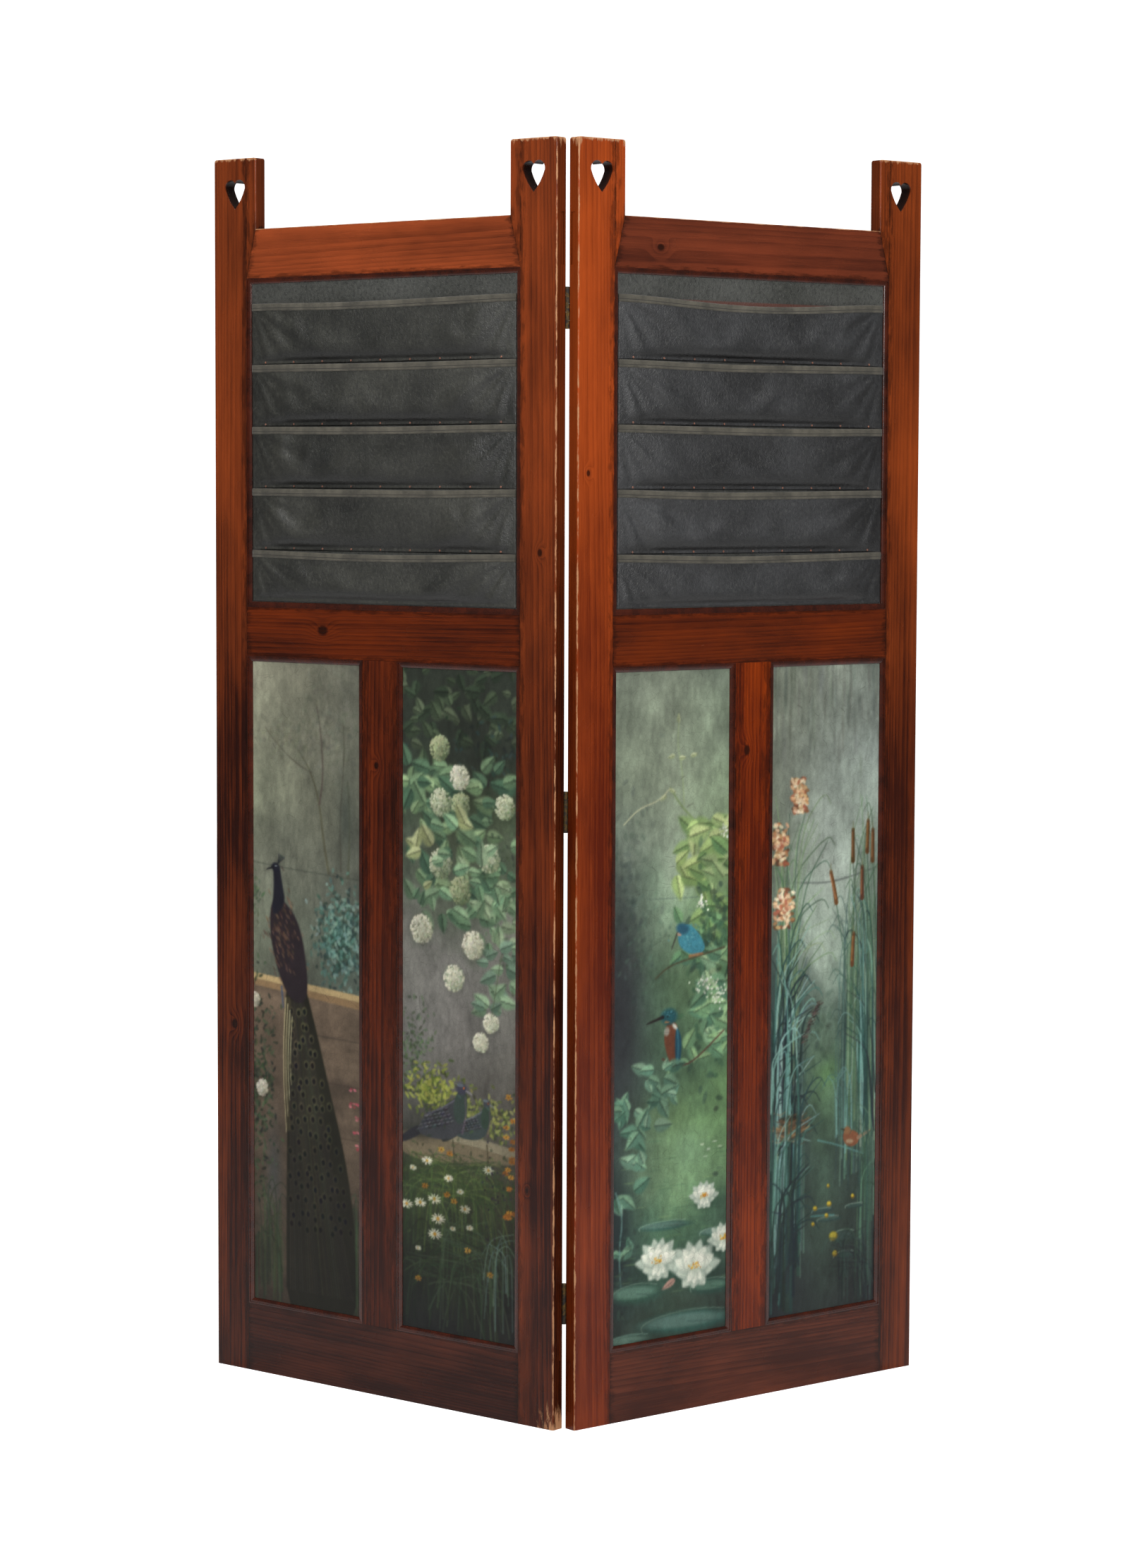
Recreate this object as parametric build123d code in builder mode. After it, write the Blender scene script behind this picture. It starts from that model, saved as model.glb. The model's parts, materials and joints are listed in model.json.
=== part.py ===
"""Two-fold draught screen in stained pine, with cloth letter pockets over painted panels.

Each leaf is a mortised and tenoned frame: two stiles that rise above the top rail as pierced horns,
three rails and a muntin. A cloth-faced board carries five bound pockets in the upper opening and two
thin painted boards fill the lower openings. Mitred mouldings hold the boards in front and plain
beads hold them behind. Three butt hinges let into the backs of the inner stiles join the leaves, and
the leaves fold back to back.

Millimetres, +Z up. The origin is on the floor, in the middle of the standing screen. The hinge pins
stand at x = 0 nearest the viewer, who is at -Y, and both leaves run back from them.
"""

import os
from math import cos, radians, sin

from build123d import *

# ---------------------------------------------------------------- driving sizes
LEAF_HEIGHT = 1800.0
LEAF_WIDTH = 656.0
LEAF_THICKNESS = 20.5
LEAF_TURN = 39.4  # degrees that each leaf is turned back from the X axis

STILE_WIDTH = 65.0
HORN_WIDTH = 84.0
HORN_RISE = 104.0  # horn tips above the top rail
HORN_CORNER_R = 4.0
ARRIS_R = 1.5

TOP_RAIL_HEIGHT = 71.5
MIDDLE_RAIL_TOP = 1143.0
MIDDLE_RAIL_HEIGHT = 72.0
BOTTOM_RAIL_HEIGHT = 101.5
MUNTIN_WIDTH = 68.0

TENON_THICKNESS = 7.0
TENON_LENGTH = 40.0
TENON_SHOULDER = 11.0
MUNTIN_TENON_LENGTH = 25.0
GLUE_SPACE = 1.0  # left at the end of each mortise
JOINT_FIT = 0.05  # clearance on each cheek of a tenon

HEART_WIDTH = 40.5
HEART_HEIGHT = 43.5
HEART_CLEFT = 4.5
HEART_SHOULDER = 13.0  # the widest place, below the top of the lobes
HEART_FLANK = 1.6  # how far the sides swell out from straight
HEART_DROP = 31.0  # top of the heart below the horn tip

MOULDING_WIDTH = 8.2
MOULDING_DEPTH = 3.8
MOULDING_FILLET = 1.6
MOULDING_STEP = 1.0
MOULDING_LIP = 0.5
BEAD_WIDTH = 9.0
BEAD_DEPTH = 8.0
BEAD_R = 4.0
MITRE_GAP = 0.1

PANEL_THICKNESS = 6.0
PANEL_FIT = 0.5  # gap round each board in its opening
BACKING_CLOTH_THICKNESS = 1.0

POCKET_COUNT = 5
POCKET_TOP_MARGIN = 36.5  # from the top rail to the first pocket's mouth
POCKET_PITCH = 90.3
POCKET_CLOTH = 1.2
POCKET_MOUTH = 9.0  # how far the mouth stands off the backing, cloth included
POCKET_BELLY = 12.0  # the same where the slack cloth sags furthest
POCKET_BELLY_RISE = 16.0  # that place is this far above the foot
POCKET_FOOT = 1.6  # the same just above the tacked hem
POCKET_FLARE = 18.0  # the sides of the belly slope back to the backing over this width
POCKET_HEM = 6.0
POCKET_SIDE_FIT = 1.0  # between a pocket and the mouldings
BINDING_DROP = 11.0
BINDING_CLOTH = 0.6

TACKS_PER_ROW = 9
TACK_HEAD_R = 1.6
TACK_HEAD_HEIGHT = 0.9
TACK_CROWN = 0.7
TACK_SHANK_R = 0.6
TACK_LENGTH = 5.0
TACK_FIT = 0.05

HINGE_LENGTH = 58.0
HINGE_HEIGHTS = {"bottom": 177.5, "middle": 870.0, "top": 1567.0}
KNUCKLE_COUNT = 5
LEFT_KNUCKLES = (0, 2, 4)
RIGHT_KNUCKLES = (1, 3)
KNUCKLE_R = 3.3
KNUCKLE_GAP = 0.3
PLATE_THICKNESS = 1.6
PLATE_REACH = 17.0
EDGE_TO_PIN = 1.2  # pin axis beyond the edge face of each leaf
PIN_R = 1.5
PIN_RUNNING_FIT = 0.05  # in the right leaf's knuckles, which turn on the pin
PIN_TIGHT_FIT = 0.02  # in the left leaf's knuckles, which hold it
BARREL_CLEARANCE = 0.5
SEAT_FIT = 0.1

SCREWS_PER_PLATE = 3
SCREW_SPACING = 20.0
SCREW_FROM_EDGE = 10.0
SCREW_HEAD_R = 2.7
SCREW_HEAD_DEPTH = 1.2
SCREW_HEAD_TAPER = 45.0
SCREW_SHANK_R = 1.3
SCREW_LENGTH = 12.0
SCREW_FIT = 0.1
SCREW_SLOT_WIDTH = 0.7
SCREW_SLOT_DEPTH = 0.6

OLD_SEAT_LENGTH = 72.0
OLD_SEAT_WIDTH = 7.8
OLD_SEAT_DEPTH = 1.5
OLD_SEAT_FROM_BACK = 4.5
OLD_SEAT_HEIGHTS = (61.0, 1662.0)

# ---------------------------------------------------------------- sizes that follow
TOP_RAIL_TOP = LEAF_HEIGHT - HORN_RISE
TOP_RAIL_BOTTOM = TOP_RAIL_TOP - TOP_RAIL_HEIGHT
MIDDLE_RAIL_BOTTOM = MIDDLE_RAIL_TOP - MIDDLE_RAIL_HEIGHT
MUNTIN_INNER = (LEAF_WIDTH - MUNTIN_WIDTH) / 2
MUNTIN_OUTER = MUNTIN_INNER + MUNTIN_WIDTH
OUTER_STILE = LEAF_WIDTH - STILE_WIDTH
TENON_DEPTH = (LEAF_THICKNESS - TENON_THICKNESS) / 2

# The pins stand behind the back faces by what lets the sunk plates lie tangent to the knuckles.
BACK_TO_PIN = KNUCKLE_R - PLATE_THICKNESS

UPPER = (STILE_WIDTH, MIDDLE_RAIL_TOP, OUTER_STILE, TOP_RAIL_BOTTOM)
LOWER_INNER = (STILE_WIDTH, BOTTOM_RAIL_HEIGHT, MUNTIN_INNER, MIDDLE_RAIL_BOTTOM)
LOWER_OUTER = (MUNTIN_OUTER, BOTTOM_RAIL_HEIGHT, OUTER_STILE, MIDDLE_RAIL_BOTTOM)

# ---------------------------------------------------------------- where the right leaf stands
ALONG = Vector(cos(radians(LEAF_TURN)), sin(radians(LEAF_TURN)), 0)
FRONT = Vector(sin(radians(LEAF_TURN)), -cos(radians(LEAF_TURN)), 0)
UP = Vector(0, 0, 1)


def from_pin(along, front):
    """A point of the right leaf on the floor, measured from the pin axis."""
    return ALONG * along + FRONT * front


NEAREST_Y = from_pin(EDGE_TO_PIN + ARRIS_R, BACK_TO_PIN + LEAF_THICKNESS - ARRIS_R).Y - ARRIS_R
FURTHEST_Y = from_pin(EDGE_TO_PIN + LEAF_WIDTH - ARRIS_R, BACK_TO_PIN + ARRIS_R).Y + ARRIS_R
PIN = Vector(0, -(NEAREST_Y + FURTHEST_Y) / 2, 0)
CORNER = PIN + from_pin(EDGE_TO_PIN, BACK_TO_PIN + LEAF_THICKNESS)


def face(depth=0.0, u=0.0, height=0.0):
    """The right leaf's elevation at a depth behind its front face: x along the leaf, y up."""
    return Plane(origin=CORNER + ALONG * u + UP * height - FRONT * depth, x_dir=ALONG, z_dir=FRONT)


def level(height):
    """The right leaf's plan at a height: x along the leaf, y from its front face to its back."""
    return Plane(origin=CORNER + UP * height, x_dir=ALONG, z_dir=UP)


def slab(u0, z0, u1, z1, depth, thickness, mode=Mode.ADD):
    """A board of the leaf between two corners of its elevation, starting at a depth."""
    with BuildSketch(face(depth)) as outline:
        with Locations(((u0 + u1) / 2, (z0 + z1) / 2)):
            Rectangle(u1 - u0, z1 - z0)
    extrude(outline.sketch, amount=-thickness, mode=mode)


def tenon(u0, z0, u1, z1):
    slab(u0, z0, u1, z1, TENON_DEPTH, TENON_THICKNESS)


def mortise(u0, z0, u1, z1):
    """A slot that takes a tenon, with the joint's clearance on every side."""
    slab(
        u0 - JOINT_FIT,
        z0 - JOINT_FIT,
        u1 + JOINT_FIT,
        z1 + JOINT_FIT,
        TENON_DEPTH - JOINT_FIT,
        TENON_THICKNESS + 2 * JOINT_FIT,
        Mode.SUBTRACT,
    )


def heart(u, top):
    """The pierced heart: two round lobes that draw down to a point."""
    half = HEART_WIDTH / 2
    cleft = (0, -HEART_CLEFT)
    shoulder = (half, -HEART_SHOULDER)
    tip = (0, -HEART_HEIGHT)
    flank = ((shoulder[0] + tip[0]) / 2 + HEART_FLANK, (shoulder[1] + tip[1]) / 2 - HEART_FLANK)
    with BuildSketch(face(0, u, top)) as outline:
        with BuildLine():
            ThreePointArc(cleft, (half / 2, 0), shoulder)
            ThreePointArc(shoulder, flank, tip)
            mirror(about=Plane.YZ)
        make_face()
    extrude(outline.sketch, amount=-LEAF_THICKNESS, mode=Mode.SUBTRACT)


# ---------------------------------------------------------------- frame of a leaf
RAIL_TENONS = (
    (TENON_SHOULDER, BOTTOM_RAIL_HEIGHT - TENON_SHOULDER),
    (MIDDLE_RAIL_BOTTOM + TENON_SHOULDER, MIDDLE_RAIL_TOP - TENON_SHOULDER),
    (TOP_RAIL_BOTTOM + TENON_SHOULDER, TOP_RAIL_TOP - TENON_SHOULDER),
)


def stile(edge, inward):
    """A stile with its horn. edge is where its outer edge stands and inward is +1 or -1 along the leaf."""

    def u(distance):
        return edge + inward * distance

    top = LEAF_HEIGHT - HEART_DROP
    with BuildPart() as piece:
        with BuildSketch(face()) as outline:
            with BuildLine():
                Polyline(
                    (u(0), 0),
                    (u(STILE_WIDTH), 0),
                    (u(STILE_WIDTH), TOP_RAIL_BOTTOM),
                    (u(HORN_WIDTH), TOP_RAIL_TOP),
                    (u(HORN_WIDTH), LEAF_HEIGHT),
                    (u(0), LEAF_HEIGHT),
                    close=True,
                )
            make_face()
            fillet(outline.vertices().sort_by(Axis.Y)[-2:], HORN_CORNER_R)
        extrude(amount=-LEAF_THICKNESS)
        upright = piece.edges().filter_by(Axis.Z).sort_by(Edge.length)
        fillet(upright[-2:], ARRIS_R)
        heart(u(HORN_WIDTH / 2), top)
        for low, high in RAIL_TENONS:
            ends = sorted((u(STILE_WIDTH - TENON_LENGTH - GLUE_SPACE), u(HORN_WIDTH)))
            mortise(ends[0], low, ends[1], high)
    return piece.part


def screw_bodies(height, growth=0.0, mode=Mode.ADD):
    """Three countersunk screws driven in from the back of an inner stile, or the holes for them."""
    back = face(LEAF_THICKNESS, SCREW_FROM_EDGE, height)
    with BuildSketch(back) as heads:
        with GridLocations(0, SCREW_SPACING, 1, SCREWS_PER_PLATE):
            Circle(SCREW_HEAD_R + growth)
    with BuildSketch(back) as shanks:
        with GridLocations(0, SCREW_SPACING, 1, SCREWS_PER_PLATE):
            Circle(SCREW_SHANK_R + growth)
    extrude(heads.sketch, amount=SCREW_HEAD_DEPTH, taper=SCREW_HEAD_TAPER, mode=mode)
    extrude(shanks.sketch, amount=SCREW_LENGTH + growth, mode=mode)


def hinge_seats(stile_part):
    """Cuts an inner stile for the three hinges and their screws, and for the two old hinge seats."""
    with BuildPart() as piece:
        add(stile_part)
        for height in HINGE_HEIGHTS.values():
            low, high = height - HINGE_LENGTH / 2 - SEAT_FIT, height + HINGE_LENGTH / 2 + SEAT_FIT
            slab(
                -EDGE_TO_PIN,
                low,
                PLATE_REACH + SEAT_FIT,
                high,
                LEAF_THICKNESS - PLATE_THICKNESS - SEAT_FIT,
                PLATE_THICKNESS + 2 * SEAT_FIT,
                Mode.SUBTRACT,
            )
            with BuildSketch(Plane(origin=PIN + UP * low)):
                Circle(KNUCKLE_R + BARREL_CLEARANCE)
            extrude(amount=high - low, mode=Mode.SUBTRACT)
            screw_bodies(height, SCREW_FIT, Mode.SUBTRACT)
        for height in OLD_SEAT_HEIGHTS:
            slab(
                0,
                height - OLD_SEAT_LENGTH / 2,
                OLD_SEAT_DEPTH,
                height + OLD_SEAT_LENGTH / 2,
                LEAF_THICKNESS - OLD_SEAT_FROM_BACK - OLD_SEAT_WIDTH,
                OLD_SEAT_WIDTH,
                Mode.SUBTRACT,
            )
    return piece.part


def rail(low, high, low_shoulder, high_shoulder, tenons, muntin_mortise=None):
    """A rail between the stiles. The shoulders give how far in it starts at its two edges."""
    with BuildPart() as piece:
        with BuildSketch(face()):
            with BuildLine():
                Polyline(
                    (low_shoulder, low),
                    (LEAF_WIDTH - low_shoulder, low),
                    (LEAF_WIDTH - high_shoulder, high),
                    (high_shoulder, high),
                    close=True,
                )
            make_face()
        extrude(amount=-LEAF_THICKNESS)
        start = STILE_WIDTH - TENON_LENGTH
        tenon(start, tenons[0], LEAF_WIDTH - start, tenons[1])
        if muntin_mortise:
            mortise(
                MUNTIN_INNER + TENON_SHOULDER,
                muntin_mortise[0],
                MUNTIN_OUTER - TENON_SHOULDER,
                muntin_mortise[1],
            )
    return piece.part


def muntin():
    with BuildPart() as piece:
        slab(MUNTIN_INNER, BOTTOM_RAIL_HEIGHT, MUNTIN_OUTER, MIDDLE_RAIL_BOTTOM, 0, LEAF_THICKNESS)
        tenon(
            MUNTIN_INNER + TENON_SHOULDER,
            BOTTOM_RAIL_HEIGHT - MUNTIN_TENON_LENGTH,
            MUNTIN_OUTER - TENON_SHOULDER,
            MIDDLE_RAIL_BOTTOM + MUNTIN_TENON_LENGTH,
        )
    return piece.part


# ---------------------------------------------------------------- boards, mouldings and beads
def board(opening, depth, thickness, tack_holes=False):
    """A board that fills an opening with a little play all round."""
    u0, z0, u1, z1 = opening
    with BuildPart() as piece:
        slab(u0 + PANEL_FIT, z0 + PANEL_FIT, u1 - PANEL_FIT, z1 - PANEL_FIT, depth, thickness)
        if tack_holes:
            drill_for_tacks()
    return piece.part


def strip(start, finish, profile):
    """One strip between two corners of an opening, mitred at both ends."""
    length = (finish - start).length
    run = (finish - start).normalized()
    inward = FRONT.cross(run)
    with BuildPart() as piece:
        with BuildSketch(Plane(origin=finish, x_dir=inward, z_dir=-run)):
            profile()
        extrude(amount=length)
        split(bisect_by=Plane(origin=start + run * MITRE_GAP / 2, z_dir=run - inward))
        split(bisect_by=Plane(origin=finish - run * MITRE_GAP / 2, z_dir=-run - inward))
    return piece.part


def strips(opening, profile, depth):
    """Four mitred strips round an opening. profile draws the section: x inward, y backward."""
    u0, z0, u1, z1 = opening
    corners = [face(depth, u, z).origin for u, z in ((u0, z0), (u1, z0), (u1, z1), (u0, z1))]
    lengths = [strip(corners[i - 1], corners[i], profile) for i in range(len(corners))]
    with BuildPart() as piece:
        add(lengths)
    return piece.part


def ovolo():
    """Section of the front moulding: a flat fillet, a step, and a long round to a thin lip."""
    with BuildLine() as outline:
        Polyline(
            (MOULDING_WIDTH, MOULDING_DEPTH - MOULDING_LIP),
            (MOULDING_WIDTH, MOULDING_DEPTH),
            (0, MOULDING_DEPTH),
            (0, 0),
            (MOULDING_FILLET, 0),
            (MOULDING_FILLET, MOULDING_STEP),
        )
        EllipticalCenterArc(
            (MOULDING_FILLET, MOULDING_DEPTH - MOULDING_LIP),
            MOULDING_WIDTH - MOULDING_FILLET,
            MOULDING_DEPTH - MOULDING_LIP - MOULDING_STEP,
            start_angle=270,
            arc_size=90,
        )
    make_face(outline.edges())


def quadrant():
    """Section of the bead behind a board: a square with its free corner rounded."""
    with BuildLine() as outline:
        Polyline(
            (BEAD_WIDTH, BEAD_DEPTH - BEAD_R),
            (BEAD_WIDTH, 0),
            (0, 0),
            (0, BEAD_DEPTH),
            (BEAD_WIDTH - BEAD_R, BEAD_DEPTH),
        )
        CenterArc((BEAD_WIDTH - BEAD_R, BEAD_DEPTH - BEAD_R), BEAD_R, start_angle=0, arc_size=90)
    make_face(outline.edges())


# ---------------------------------------------------------------- pockets
def pocket_mouth_height(index):
    return TOP_RAIL_BOTTOM - POCKET_TOP_MARGIN - index * POCKET_PITCH


def pocket_foot_height(index):
    """Where a pocket reaches the backing: above its hem, or for the last one above the moulding."""
    if index == POCKET_COUNT - 1:
        return MIDDLE_RAIL_TOP + MOULDING_WIDTH + POCKET_SIDE_FIT
    return pocket_mouth_height(index + 1) + BINDING_CLOTH + POCKET_HEM


def pocket_stand_off(index, height):
    """How far a pocket stands off the backing. Its slack hangs in a belly just above the foot."""
    mouth, foot = pocket_mouth_height(index), pocket_foot_height(index)
    belly = foot + POCKET_BELLY_RISE
    if height < belly:
        return POCKET_FOOT + (POCKET_BELLY - POCKET_FOOT) * (height - foot) / (belly - foot)
    return POCKET_MOUTH + (POCKET_BELLY - POCKET_MOUTH) * (mouth - height) / (mouth - belly)


def pocket_section(index, height, skin):
    """Plan of a pocket at a height, its front and sides grown by skin, on the backing cloth."""
    cloth = pocket_stand_off(index, height)
    side = STILE_WIDTH + MOULDING_WIDTH + POCKET_SIDE_FIT - skin
    flare = POCKET_FLARE * cloth / POCKET_BELLY
    with BuildSketch(level(height)) as section:
        with BuildLine():
            Polyline(
                (side, MOULDING_DEPTH),
                (LEAF_WIDTH - side, MOULDING_DEPTH),
                (LEAF_WIDTH - side - flare, MOULDING_DEPTH - cloth - skin),
                (side + flare, MOULDING_DEPTH - cloth - skin),
                close=True,
            )
        make_face()
    return section.sketch


def pocket(index):
    """A loose cloth pocket: shut at its sides and foot, open at its mouth and along the backing."""
    foot = pocket_foot_height(index)
    levels = (foot, foot + POCKET_BELLY_RISE, pocket_mouth_height(index))
    outside = [pocket_section(index, height, 0) for height in levels]
    inside = [pocket_section(index, height, -POCKET_CLOTH) for height in levels]
    hem_side = STILE_WIDTH + MOULDING_WIDTH + POCKET_SIDE_FIT
    with BuildPart() as piece:
        loft(outside, ruled=True)
        loft(inside, ruled=True, mode=Mode.SUBTRACT)
        if index < POCKET_COUNT - 1:
            slab(
                hem_side,
                foot - POCKET_HEM,
                LEAF_WIDTH - hem_side,
                foot,
                MOULDING_DEPTH - POCKET_CLOTH,
                POCKET_CLOTH,
            )
            drill_for_tacks()
    return piece.part


def binding(index, pocket_part):
    """Tape folded over the mouth of a pocket."""
    low = pocket_mouth_height(index) - BINDING_DROP
    high = pocket_mouth_height(index) + BINDING_CLOTH
    with BuildPart() as piece:
        outside = [pocket_section(index, height, BINDING_CLOTH) for height in (low, high)]
        inner_skin = -POCKET_CLOTH - BINDING_CLOTH
        inside = [pocket_section(index, height, inner_skin) for height in (low, high)]
        loft(outside, ruled=True)
        loft(inside, ruled=True, mode=Mode.SUBTRACT)
        add(pocket_part, mode=Mode.SUBTRACT)
    return piece.part


def bindings(pockets):
    tapes = [binding(index, part) for index, part in enumerate(pockets)]
    with BuildPart() as piece:
        add(tapes)
    return piece.part


def tack_places():
    """Centres of the tack rows in the leaf's elevation."""
    first = STILE_WIDTH + MOULDING_WIDTH
    spacing = (LEAF_WIDTH - 2 * first) / TACKS_PER_ROW
    columns = [first + spacing * (i + 0.5) for i in range(TACKS_PER_ROW)]
    rows = [pocket_foot_height(index) - POCKET_HEM / 2 for index in range(POCKET_COUNT - 1)]
    return [(u, height) for height in rows for u in columns]


def drill_for_tacks():
    with BuildSketch(face(MOULDING_DEPTH - POCKET_CLOTH)) as shanks:
        with Locations(*tack_places()):
            Circle(TACK_SHANK_R + TACK_FIT)
    extrude(shanks.sketch, amount=-TACK_LENGTH - TACK_FIT, mode=Mode.SUBTRACT)


def tacks():
    """Round-headed tacks that hold each pocket's hem through the backing to the board."""
    hem_face = face(MOULDING_DEPTH - POCKET_CLOTH)
    rims = len(tack_places())
    with BuildPart() as piece:
        with BuildSketch(hem_face):
            with Locations(*tack_places()):
                Circle(TACK_HEAD_R)
        extrude(amount=TACK_HEAD_HEIGHT)
        crowns = piece.faces().filter_by(hem_face).sort_by(Axis(PIN, FRONT))[-rims:]
        fillet(crowns.edges(), TACK_CROWN)
        with BuildSketch(hem_face):
            with Locations(*tack_places()):
                Circle(TACK_SHANK_R)
        extrude(amount=-TACK_LENGTH)
    return piece.part


# ---------------------------------------------------------------- hinges
def hinge_leaf(height, own_knuckles, pin_fit):
    """A plate let into the back of the stile, with its share of the knuckles round the pin."""
    low = height - HINGE_LENGTH / 2
    pitch = HINGE_LENGTH / KNUCKLE_COUNT
    with BuildPart() as piece:
        slab(
            -EDGE_TO_PIN,
            low,
            PLATE_REACH,
            low + HINGE_LENGTH,
            LEAF_THICKNESS - PLATE_THICKNESS,
            PLATE_THICKNESS,
        )
        for i in range(KNUCKLE_COUNT):
            if i not in own_knuckles:
                with BuildSketch(Plane(origin=PIN + UP * (low + i * pitch))):
                    Circle(KNUCKLE_R + KNUCKLE_GAP)
                extrude(amount=pitch, mode=Mode.SUBTRACT)
        for i in own_knuckles:
            with BuildSketch(Plane(origin=PIN + UP * (low + i * pitch + KNUCKLE_GAP / 2))):
                Circle(KNUCKLE_R)
            extrude(amount=pitch - KNUCKLE_GAP)
        with BuildSketch(Plane(origin=PIN + UP * low)):
            Circle(PIN_R + pin_fit)
        extrude(amount=HINGE_LENGTH, mode=Mode.SUBTRACT)
        screw_bodies(height, SCREW_FIT, Mode.SUBTRACT)
    return piece.part


def hinge_pin(height):
    with BuildPart() as piece:
        with BuildSketch(Plane(origin=PIN + UP * (height - HINGE_LENGTH / 2))):
            Circle(PIN_R)
        extrude(amount=HINGE_LENGTH)
    return piece.part


def hinge_screws():
    with BuildPart() as piece:
        for height in HINGE_HEIGHTS.values():
            screw_bodies(height)
            with BuildSketch(face(LEAF_THICKNESS, SCREW_FROM_EDGE, height)):
                with GridLocations(0, SCREW_SPACING, 1, SCREWS_PER_PLATE):
                    Rectangle(2 * SCREW_HEAD_R, SCREW_SLOT_WIDTH)
            extrude(amount=SCREW_SLOT_DEPTH, mode=Mode.SUBTRACT)
    return piece.part


# ---------------------------------------------------------------- the two leaves
def leaf(knuckles, pin_fit):
    """Every piece of one leaf by name, as it stands on the right."""
    board_back = MOULDING_DEPTH + BACKING_CLOTH_THICKNESS + PANEL_THICKNESS
    panel_back = MOULDING_DEPTH + PANEL_THICKNESS
    socket = MUNTIN_TENON_LENGTH + GLUE_SPACE
    pieces = {
        "outer_stile": stile(LEAF_WIDTH, -1),
        "inner_stile": hinge_seats(stile(0, 1)),
        "top_rail": rail(TOP_RAIL_BOTTOM, TOP_RAIL_TOP, STILE_WIDTH, HORN_WIDTH, RAIL_TENONS[2]),
        "middle_rail": rail(
            MIDDLE_RAIL_BOTTOM,
            MIDDLE_RAIL_TOP,
            STILE_WIDTH,
            STILE_WIDTH,
            RAIL_TENONS[1],
            (MIDDLE_RAIL_BOTTOM, MIDDLE_RAIL_BOTTOM + socket),
        ),
        "bottom_rail": rail(
            0,
            BOTTOM_RAIL_HEIGHT,
            STILE_WIDTH,
            STILE_WIDTH,
            RAIL_TENONS[0],
            (BOTTOM_RAIL_HEIGHT - socket, BOTTOM_RAIL_HEIGHT),
        ),
        "muntin": muntin(),
        "pocket_backing_cloth": board(UPPER, MOULDING_DEPTH, BACKING_CLOTH_THICKNESS, True),
        "pocket_board": board(
            UPPER, MOULDING_DEPTH + BACKING_CLOTH_THICKNESS, PANEL_THICKNESS, True
        ),
        "painted_panel_inner": board(LOWER_INNER, MOULDING_DEPTH, PANEL_THICKNESS),
        "painted_panel_outer": board(LOWER_OUTER, MOULDING_DEPTH, PANEL_THICKNESS),
        "upper_moulding": strips(UPPER, ovolo, 0),
        "lower_moulding_inner": strips(LOWER_INNER, ovolo, 0),
        "lower_moulding_outer": strips(LOWER_OUTER, ovolo, 0),
        "upper_back_bead": strips(UPPER, quadrant, board_back),
        "lower_back_bead_inner": strips(LOWER_INNER, quadrant, panel_back),
        "lower_back_bead_outer": strips(LOWER_OUTER, quadrant, panel_back),
        "pocket_tacks": tacks(),
        "hinge_screws": hinge_screws(),
    }
    pockets = [pocket(index) for index in range(POCKET_COUNT)]
    for index, part in enumerate(pockets):
        pieces[f"pocket_{index + 1}"] = part
    pieces["pocket_bindings"] = bindings(pockets)
    for name, height in HINGE_HEIGHTS.items():
        pieces[f"{name}_hinge_leaf"] = hinge_leaf(height, knuckles, pin_fit)
    return pieces


def mirrored(part):
    with BuildPart() as piece:
        mirror(part, about=Plane.YZ)
    return piece.part


def write(part, name):
    part.label = name
    export_step(part, f"parts/{name}.step")


os.makedirs("parts", exist_ok=True)

for name, part in leaf(RIGHT_KNUCKLES, PIN_RUNNING_FIT).items():
    write(part, f"right_{name}")
for name, part in leaf(LEFT_KNUCKLES, PIN_TIGHT_FIT).items():
    write(mirrored(part), f"left_{name}")
for name, height in HINGE_HEIGHTS.items():
    write(hinge_pin(height), f"{name}_hinge_pin")
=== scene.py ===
# %% [markdown]
# # A painted two-fold screen
# Two pine leaves hinge together at their backs. Each has five leathercloth pockets over two boards painted in
# oils. The joinery, hinges, screws and tacks are already modelled, so this lesson keeps those meshes and gives
# them their finishes. It then makes what a joiner's drawing can't hold: slack cloth, woven tape and paint.

# %% The frame
import json
from math import cos, pi, radians, sin, tau

import bpy
import numpy as np
from mathutils import Matrix, Vector


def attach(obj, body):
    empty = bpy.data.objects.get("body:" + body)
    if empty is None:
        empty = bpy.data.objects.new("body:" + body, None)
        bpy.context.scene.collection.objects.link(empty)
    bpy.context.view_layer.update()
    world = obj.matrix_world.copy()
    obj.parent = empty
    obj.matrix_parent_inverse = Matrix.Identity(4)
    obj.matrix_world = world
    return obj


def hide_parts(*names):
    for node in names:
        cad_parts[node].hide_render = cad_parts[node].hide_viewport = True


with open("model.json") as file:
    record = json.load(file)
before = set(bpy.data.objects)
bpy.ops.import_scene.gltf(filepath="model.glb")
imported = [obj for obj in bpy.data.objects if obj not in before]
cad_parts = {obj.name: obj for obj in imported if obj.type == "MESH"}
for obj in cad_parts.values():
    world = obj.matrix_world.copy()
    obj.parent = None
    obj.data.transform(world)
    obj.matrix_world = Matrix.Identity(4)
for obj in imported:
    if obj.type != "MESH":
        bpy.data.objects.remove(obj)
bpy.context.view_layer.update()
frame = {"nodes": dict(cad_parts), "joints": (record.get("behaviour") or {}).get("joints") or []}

MM = 0.001

# %% [markdown]
# ## Where things are
# Both leaves are the same, turned back from the hinge pins by one angle and mirrored. It is simplest to think in
# a leaf's own directions: u along the leaf from the pin, f from the pin towards its front, and z up. A leaf box
# is a node's extent in those directions, read from its mesh, so every size below follows the joinery.

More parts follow.
